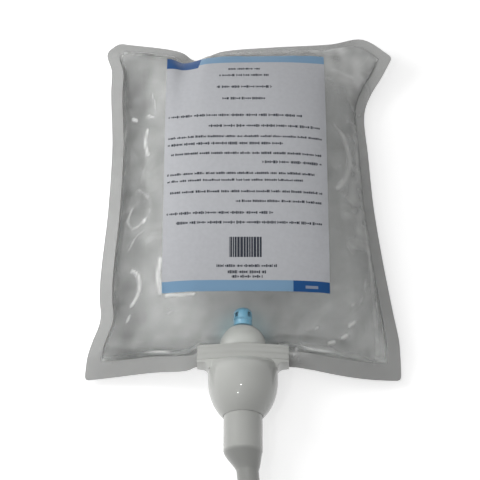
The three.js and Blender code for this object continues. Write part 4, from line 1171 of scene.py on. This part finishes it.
class POUCH_OT_spout(PouchOperator, bpy.types.Operator):
    """Build the weld base with its dome and neck"""

    bl_idname = "pouch.spout"
    bl_label = "Spout"

    RIBS = 3
    RIB_DEPTH = 0.1
    FOOT = 0.15
    DOME = (14.0, 16.2, 17.5 / 28.0, 14.41)  # radius, rise of its curve, flatness and height of its flat top
    DOME_ROOT = 1.0  # how far the dome reaches into the bar
    SPIGOT_HOLE = 3.1
    NECK = (6.75, 8.0, 14.0)  # bore, radius and length
    BEAD = (-3.2, -5.2, 0.6)  # top, foot and height of the neck's bead
    WALL = 1.6
    PAST = 2.0  # how far a cutter runs past what it cuts
    PAINTED_SHADE = (9, 10.5, 0.54)  # painted shade: the dome darker than the boat

    def execute(self, context):
        pump = context.scene.pouch_pump
        piece = joined("spout_moulding", self.base(pump), self.dome(pump), self.neck())
        # painted shade: the spout is a darker copy of the white, and darker still on the dome
        white = plastic("white_spout", shade_of(pump.white, 0.92)[:3], 0.38, fade=self.PAINTED_SHADE)
        dress(piece, BODY, "white_plastic", "spout", white)
        smooth_shading(piece, 30)
        return {"FINISHED"}

    def base(self, pump):
        """The ribbed bar between the films: an outline pulled up step by step."""
        piece = boat_outline("weld_base", pump, self.FOOT)
        mid = pump.boat_thickness / MM / 2
        steps = 2 * self.RIBS - 1
        pitch = pump.boat_rise / steps
        inset = 1 - self.RIB_DEPTH / mid
        centre = Vector(place((0, 0, AXIS_HEIGHT)))

        def pull_ribs():
            for k in range(steps):
                extrude(0, pitch, 0)
                if k + 1 < steps:
                    size = inset if k % 2 == 0 else 1 / inset
                    bpy.ops.mesh.extrude_region_move()
                    bpy.ops.transform.resize(value=(lerp(1, size, 0.4), 1, size), center_override=centre)
            select_mesh()
            merge_doubles()
            face_outwards()

        in_edit_mode(piece, pull_ribs)
        bevel(piece, 0.25, 2)
        bore, low, high = self.NECK[0], -self.PAST, self.FOOT + pump.boat_rise / MM + self.PAST
        combine(piece, turned("bore", [(0.0, low), (bore, low), (bore, high), (0.0, high)]), "DIFFERENCE")
        return piece

    def dome(self, pump):
        """A flattened hollow dome with a flat top."""
        radius, rise, flat, seat = self.DOME
        inner, vault_rise, hole = radius - self.WALL, rise - self.WALL, self.SPIGOT_HOLE
        top = self.FOOT + pump.boat_rise / MM
        foot = top - self.DOME_ROOT
        crown = arc(radius, rise, top, 0, math.asin(seat / rise), 20)
        vault = arc(inner, vault_rise, top, math.asin((seat - self.WALL) / vault_rise), 0, 20)
        piece = turned(
            "dome", [(radius, foot), *crown, (hole, crown[-1][1]), (hole, vault[0][1]), *vault, (inner, foot)]
        )
        spots = vertices_of(piece)
        off_hole = np.hypot(spots[:, 0], spots[:, 2] - AXIS_HEIGHT * MM) > 4.0 * MM
        spots[:, 2] = np.where(off_hole, lerp(AXIS_HEIGHT * MM, spots[:, 2], flat), spots[:, 2])
        move_vertices(piece, spots)
        return piece

    def neck(self):
        bore, radius, long = self.NECK
        high, low, proud = self.BEAD
        outline = [
            (bore, -long), (radius, -long), (radius, low), (radius + proud, (high + low) / 2), (radius + proud, high),
            (radius, high), (radius, 1.0), (bore, 1.0),
        ]
        return turned("neck", outline)


class POUCH_OT_housing(PouchOperator, bpy.types.Operator):
    """Build the pump's bell with its ears"""

    bl_idname = "pouch.housing"
    bl_label = "Bell"

    STRAIGHT = 11.0  # height of the bell's upper part, which flattens towards the boat
    WALL = 1.6
    MOUTH = 11.75
    NECK_HOLE = 8.25
    COLLAR = 1.5  # thickness of the ears
    FILLET = 4.0  # radius under each ear
    EDGE = 0.5
    ROOT = 0.35  # how far the ears reach into the bell
    PAST = 2.0  # how far a cutter runs past what it cuts

    def execute(self, context):
        pump = context.scene.pouch_pump
        piece = self.bell(pump)
        combine(piece, self.ears(pump), "UNION")
        in_edit_mode(piece, merge_doubles)
        dress(piece, BODY, "white_plastic", "pump_housing", plastic("white_bell", pump.white, 0.36, coat=0.03))
        smooth_shading(piece, 32)
        return {"FINISHED"}

    def bell(self, pump):
        wide, long = pump.bell_radius / MM, pump.bell_length / MM
        rise = (long - self.STRAIGHT) / math.sqrt(1 - (self.MOUTH / wide) ** 2)
        thin = wide - self.WALL
        outer = arc(wide, rise, -self.STRAIGHT, -math.acos(self.MOUTH / wide), 0, 28)
        inner = arc(thin, rise - self.WALL, -self.STRAIGHT, 0, -math.acos((self.MOUTH + 0.05) / thin), 20)
        up = [-self.STRAIGHT * (1 - math.sin(t)) for t in np.linspace(0, math.pi / 2, 15)[1:]]
        shoulder = [(wide, y) for y in up]
        under = [(thin, min(y, -self.WALL)) for y in reversed(up) if y < -self.WALL]
        hole, lip = self.NECK_HOLE, (self.MOUTH, inner[-1][1])
        outline = [*outer, *shoulder, (hole, 0), (hole, -self.WALL), (thin, -self.WALL), *under, *inner, lip]
        piece = turned("bell", outline, sides=128)
        spots = vertices_of(piece)
        axis = AXIS_HEIGHT * MM
        y = spots[:, 1] / MM + ORIGIN_UP
        out = np.hypot(spots[:, 0], spots[:, 2] - axis) > (hole + 1) * MM
        lean = np.sqrt(np.clip(1 - ((y + self.STRAIGHT) / self.STRAIGHT) ** 2, 0, 1))
        flat = np.where((y > -self.STRAIGHT) & out, lerp(pump.boat_thickness / pump.bell_radius / 2, 1, lean), 1)
        spots[:, 2] = axis + (spots[:, 2] - axis) * flat
        move_vertices(piece, spots)
        return piece

    def prism(self, pump, drop):
        """A bar with the outline of the weld base, from just above the shoulder down."""
        piece = boat_outline("bar", pump, 1.0)
        pull(piece, 0, -(drop + self.PAST) * MM, 0)
        return piece

    def hollow(self, pump, drop):
        """The room for the neck, and under it the bell's hollow, a little smaller than the bell's own."""
        wide, plate, foot = pump.bell_radius / MM - self.WALL - 0.5, 0.4 - self.WALL, -drop - self.PAST
        hole, top = self.NECK_HOLE, self.PAST
        stepped = [(0.0, top), (0.0, foot), (wide, foot), (wide, plate), (hole, plate), (hole, top)]
        return turned("hollow", stepped, sides=128)

    def ears(self, pump):
        """The ears as one outline across the bell, with a fillet under each, cut to the outline of the weld base."""
        end, root, drop = pump.boat_span / MM / 2, pump.bell_radius / MM - self.ROOT, self.COLLAR + self.FILLET
        turn = np.linspace(0, math.pi / 2, 9)
        right = [(root + self.FILLET * (1 - math.cos(t)), -drop + self.FILLET * math.sin(t)) for t in turn]
        half = [(end, 0.0), (end, -self.COLLAR), *reversed(right)]
        outline = half + [(-x, y) for x, y in reversed(half)]
        piece = flat_outline("ears", len(outline))
        deep = pump.boat_thickness / MM / 2 + 1
        move_vertices(piece, place([(x, y, AXIS_HEIGHT - deep) for x, y in outline]))
        pull(piece, 0, 0, 2 * deep * MM)
        combine(piece, self.prism(pump, drop), "INTERSECT")
        bevel(piece, self.EDGE, 3)
        combine(piece, self.hollow(pump, drop), "DIFFERENCE")
        return piece


class POUCH_OT_nozzle(PouchOperator, bpy.types.Operator):
    """Build the nozzle with its tip and outlet insert"""

    bl_idname = "pouch.nozzle"
    bl_label = "Nozzle"

    TOP, SLEEVE_END = -28.5, -55.5  # heights of the sleeve's ends
    TAPER, TIP = 11.0, 15.0  # lengths
    WALL = 1.5
    ROUND, EDGE = 0.5, 0.4  # the taper's start, and the sleeve's edges
    WAIST = (1.35, 1.25)  # how the taper swells into the sleeve and out of the tip
    ASIDE, BACK, LEAN = 2.6, 2.6, 0.1  # how far the tip stands off the sleeve's axis
    OUTLET, INSERT, INSERT_DEPTH = 1.5, 4.05, 2.95
    DISC_HOLE, DISC, DISC_DEPTH = 0.6, 3.9, 2.8
    FLOOR, SOCKET, SOCKET_WALL, SOCKET_LENGTH = 8.0, 3.35, 1.9, 14.0
    PAINTED_SHADE = (-55, -57, 0.68)  # painted shade: the taper and tip darker than the sleeve

    def execute(self, context):
        pump = context.scene.pouch_pump
        # painted shade: the nozzle is a darker copy of the white, and darker still on the taper and tip
        white = plastic("white_nozzle", shade_of(pump.white, 0.91)[:3], 0.36, fade=self.PAINTED_SHADE)
        piece = self.shifted(turned("nozzle_moulding", self.outline(pump)))
        dress(piece, PLUNGER, "white_plastic", "nozzle", white)
        smooth_shading(piece, 32)
        end = self.SLEEVE_END - self.TAPER - self.TIP
        hole, rim, back = self.DISC_HOLE, self.DISC, end + self.DISC_DEPTH
        disc = [(hole, end), (rim - 0.5, end), (rim, end + self.EDGE), (rim, back), (hole, back)]
        insert = self.shifted(turned("outlet_insert", disc, sides=64), end)
        dress(insert, PLUNGER, "natural_plastic", "spray_insert", plastic("natural_insert", pump.natural))
        smooth_shading(insert, 32)
        return {"FINISHED"}

    def outline(self, pump):
        sleeve, tip = pump.sleeve_radius / MM, pump.tip_radius / MM
        root, end = self.SLEEVE_END - self.TAPER, self.SLEEVE_END - self.TAPER - self.TIP
        pocket, floor = end + self.INSERT_DEPTH, self.SLEEVE_END + self.FLOOR
        crown, start = floor + self.SOCKET_LENGTH, self.SLEEVE_END + self.ROUND
        inner, socket, socket_out = sleeve - self.WALL, self.SOCKET, self.SOCKET + self.SOCKET_WALL
        out, up = self.WAIST
        steps = np.linspace(0, 1, 22)
        waist = [(lerp(tip, sleeve, (1 - (1 - k) ** out) ** up), lerp(root, start, k)) for k in steps]
        return [
            (self.OUTLET, pocket), (self.INSERT, pocket), (self.INSERT, end), (tip - 0.5, end),
            (tip - 0.15, end + 0.15), (tip, end + 0.5), (tip, lerp(end, root, 0.5)), *waist,
            (sleeve, start + self.EDGE), (sleeve, lerp(self.SLEEVE_END, self.TOP, 0.5)),
            (sleeve, self.TOP - self.EDGE), (sleeve - self.EDGE, self.TOP), (inner, self.TOP), (inner, floor),
            (socket_out, floor), (socket_out, crown), (socket, crown), (socket, floor), (self.OUTLET, floor),
        ]

    def shifted(self, piece, height=None):
        """Moves the tip aside and back from the sleeve's axis, with a slight lean.

        A piece with a height moves whole, as the tip does there.
        """
        spots = vertices_of(piece)
        y = spots[:, 1] / MM + ORIGIN_UP if height is None else np.full(len(spots), height)
        root = np.clip((self.SLEEVE_END - y) / self.TAPER, 0, 1)
        soft = smoothstep(root, 0, 1)
        lean = self.LEAN * np.clip(self.SLEEVE_END - self.TAPER - y, 0, None)
        spots[:, 0] += (self.ASIDE * soft + lean) * MM
        spots[:, 2] -= (self.BACK * root + lean) * MM
        move_vertices(piece, spots)
        return piece


class POUCH_OT_inlet_valve(PouchOperator, bpy.types.Operator):
    """Build the valve cage on the dome"""

    bl_idname = "pouch.inlet_valve"
    bl_label = "Inlet valve"

    FOOT, HEIGHT, CROWN, RADIUS, BORE = 23.71, 12.0, 4.0, 5.6, 2.95
    WALL = 2.0
    SEAT = 4.15  # the chamber's floor above the foot
    GROOVE = 0.4  # depth of the groove round the cage
    WINDOWS, WINDOW = 4, (2.4, 3.0, 5.0)  # number, and width, height and depth

    def execute(self, context):
        pump = context.scene.pouch_pump
        foot, out, seat = self.FOOT, self.RADIUS, self.FOOT + self.SEAT
        crown, chamber, waist = foot + self.HEIGHT - self.CROWN, out - self.WALL, out - self.GROOVE
        outline = [
            (self.BORE, foot), (out - 0.3, foot), (out, foot + 0.3), (out, foot + 3.0), (waist, foot + 3.4),
            (waist, foot + 4.0), (out, foot + 4.4), *arc(out, self.CROWN, crown, 0, math.pi / 2 - 0.02, 12),
            (0.0, crown + self.CROWN), (0.0, crown + self.CROWN - self.WALL), (chamber, crown), (chamber, seat),
            (self.BORE, seat),
        ]
        piece = turned("valve_cage", outline, sides=64)
        for k in range(self.WINDOWS):
            combine(piece, self.window(crown, k), "DIFFERENCE")
        in_edit_mode(piece, merge_doubles)
        dress(piece, BODY, "blue_plastic", "inlet_cage", plastic("blue_valve", pump.valve, 0.28, 0.12))
        smooth_shading(piece, 32)
        return {"FINISHED"}

    def window(self, crown, k):
        """A slot for one window, turned to its place round the cage."""
        deselect_all()
        angle = 2 * math.pi * (k + 0.5) / self.WINDOWS
        wide, high, deep = self.WINDOW
        centre = place((deep * math.sin(angle), crown - high / 2, AXIS_HEIGHT + deep * math.cos(angle)))
        size = (wide * MM, high * MM, deep * MM)
        bpy.ops.mesh.primitive_cube_add(size=1.0, location=centre, rotation=(0, angle, 0), scale=size)
        box = active_piece("window")
        bpy.ops.object.transform_apply(location=True, rotation=True, scale=True)
        return box


class POUCH_OT_pump_insides(PouchOperator, bpy.types.Operator):
    """Finish the pieces inside the pump and wind its spring"""

    bl_idname = "pouch.pump_insides"
    bl_label = "Pump insides"

    TURNS, WIRE, RADIUS = 6, 0.5, 4.2  # turns of the spring, and radii of its wire and its coil
    STEPS = 28  # in a turn

    def execute(self, context):
        pump = context.scene.pouch_pump
        natural = plastic("natural_plastic", pump.natural, 0.45)
        rubber = plastic("soft_rubber", pump.rubber, 0.65, 0.4)
        bright = steel("bright_steel")
        finishes = {
            "pump_cylinder": natural, "stem_guide": natural, "piston_rod": natural, "neck_gasket": rubber,
            "inlet_seal": rubber, "piston_seal": rubber, "outlet_valve": rubber, "inlet_ball": bright,
        }
        for node, finish in finishes.items():
            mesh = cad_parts[node].data
            mesh.materials.clear()
            mesh.materials.append(finish)
        self.spring(bright)
        return {"FINISHED"}

    def spring(self, finish):
        """Winds the wire from end to end of the solid that it stands for."""
        low, high = (corner[1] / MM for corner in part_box("return_spring"))
        deselect_all()
        bpy.ops.mesh.primitive_circle_add(vertices=12, radius=self.WIRE * MM)
        piece = active_piece("wire_spring")
        move_vertices(piece, vertices_of(piece) + np.array([self.RADIUS * MM, 0, 0]))
        run = (high - low - 2 * self.WIRE) * MM
        apply_modifier(
            piece, "SCREW", axis="Y", angle=2 * math.pi, screw_offset=run / self.TURNS, iterations=self.TURNS,
            steps=self.STEPS, render_steps=self.STEPS, use_smooth_shade=True,
        )
        move_vertices(piece, vertices_of(piece) + np.array([0, (low + self.WIRE) * MM, AXIS_HEIGHT * MM]))

        def cap_ends():
            select_open_edges()
            bpy.ops.mesh.edge_face_add()
            select_mesh()

        in_edit_mode(piece, merge_doubles, cap_ends, face_outwards)
        dress(piece, BODY, "steel", "return_spring", finish)
        smooth_shading(piece, 40)
        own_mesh(piece)


class POUCH_PT_panel(bpy.types.Panel):
    """Lists the pieces of the refill pouch"""

    bl_idname = "POUCH_PT_panel"
    bl_label = "Refill pouch"
    bl_space_type = "VIEW_3D"
    bl_region_type = "UI"
    bl_category = "Refill pouch"

    def draw(self, context):
        for operator in OPERATORS:
            self.layout.operator(operator.bl_idname)
        for group in SETTINGS:
            box = self.layout.box()
            settings = getattr(context.scene, group)
            for name in settings.bl_rna.properties.keys():
                if name not in ("rna_type", "name"):
                    box.prop(settings, name)


SETTINGS = {
    "pouch": PouchSettings, "pouch_label": LabelSettings, "pouch_pump": PumpSettings, "pouch_stage": StageSettings,
}
OPERATORS = (
    POUCH_OT_stage, POUCH_OT_films, POUCH_OT_hand_rub, POUCH_OT_label, POUCH_OT_spout, POUCH_OT_housing,
    POUCH_OT_nozzle, POUCH_OT_inlet_valve, POUCH_OT_pump_insides,
)


def register():
    for group, settings in SETTINGS.items():
        bpy.utils.register_class(settings)
        setattr(bpy.types.Scene, group, PointerProperty(type=settings))
    for item in (*OPERATORS, POUCH_PT_panel):
        bpy.utils.register_class(item)


def unregister():
    for item in reversed((*OPERATORS, POUCH_PT_panel)):
        bpy.utils.unregister_class(item)
    for group, settings in SETTINGS.items():
        delattr(bpy.types.Scene, group)
        bpy.utils.unregister_class(settings)


def main():
    register()
    bpy.ops.pouch.stage()
    bpy.ops.pouch.films()
    bpy.ops.pouch.hand_rub()
    bpy.ops.pouch.label()
    bpy.ops.pouch.spout()
    bpy.ops.pouch.housing()
    bpy.ops.pouch.nozzle()
    bpy.ops.pouch.inlet_valve()
    bpy.ops.pouch.pump_insides()


if __name__ == "__main__":
    main()
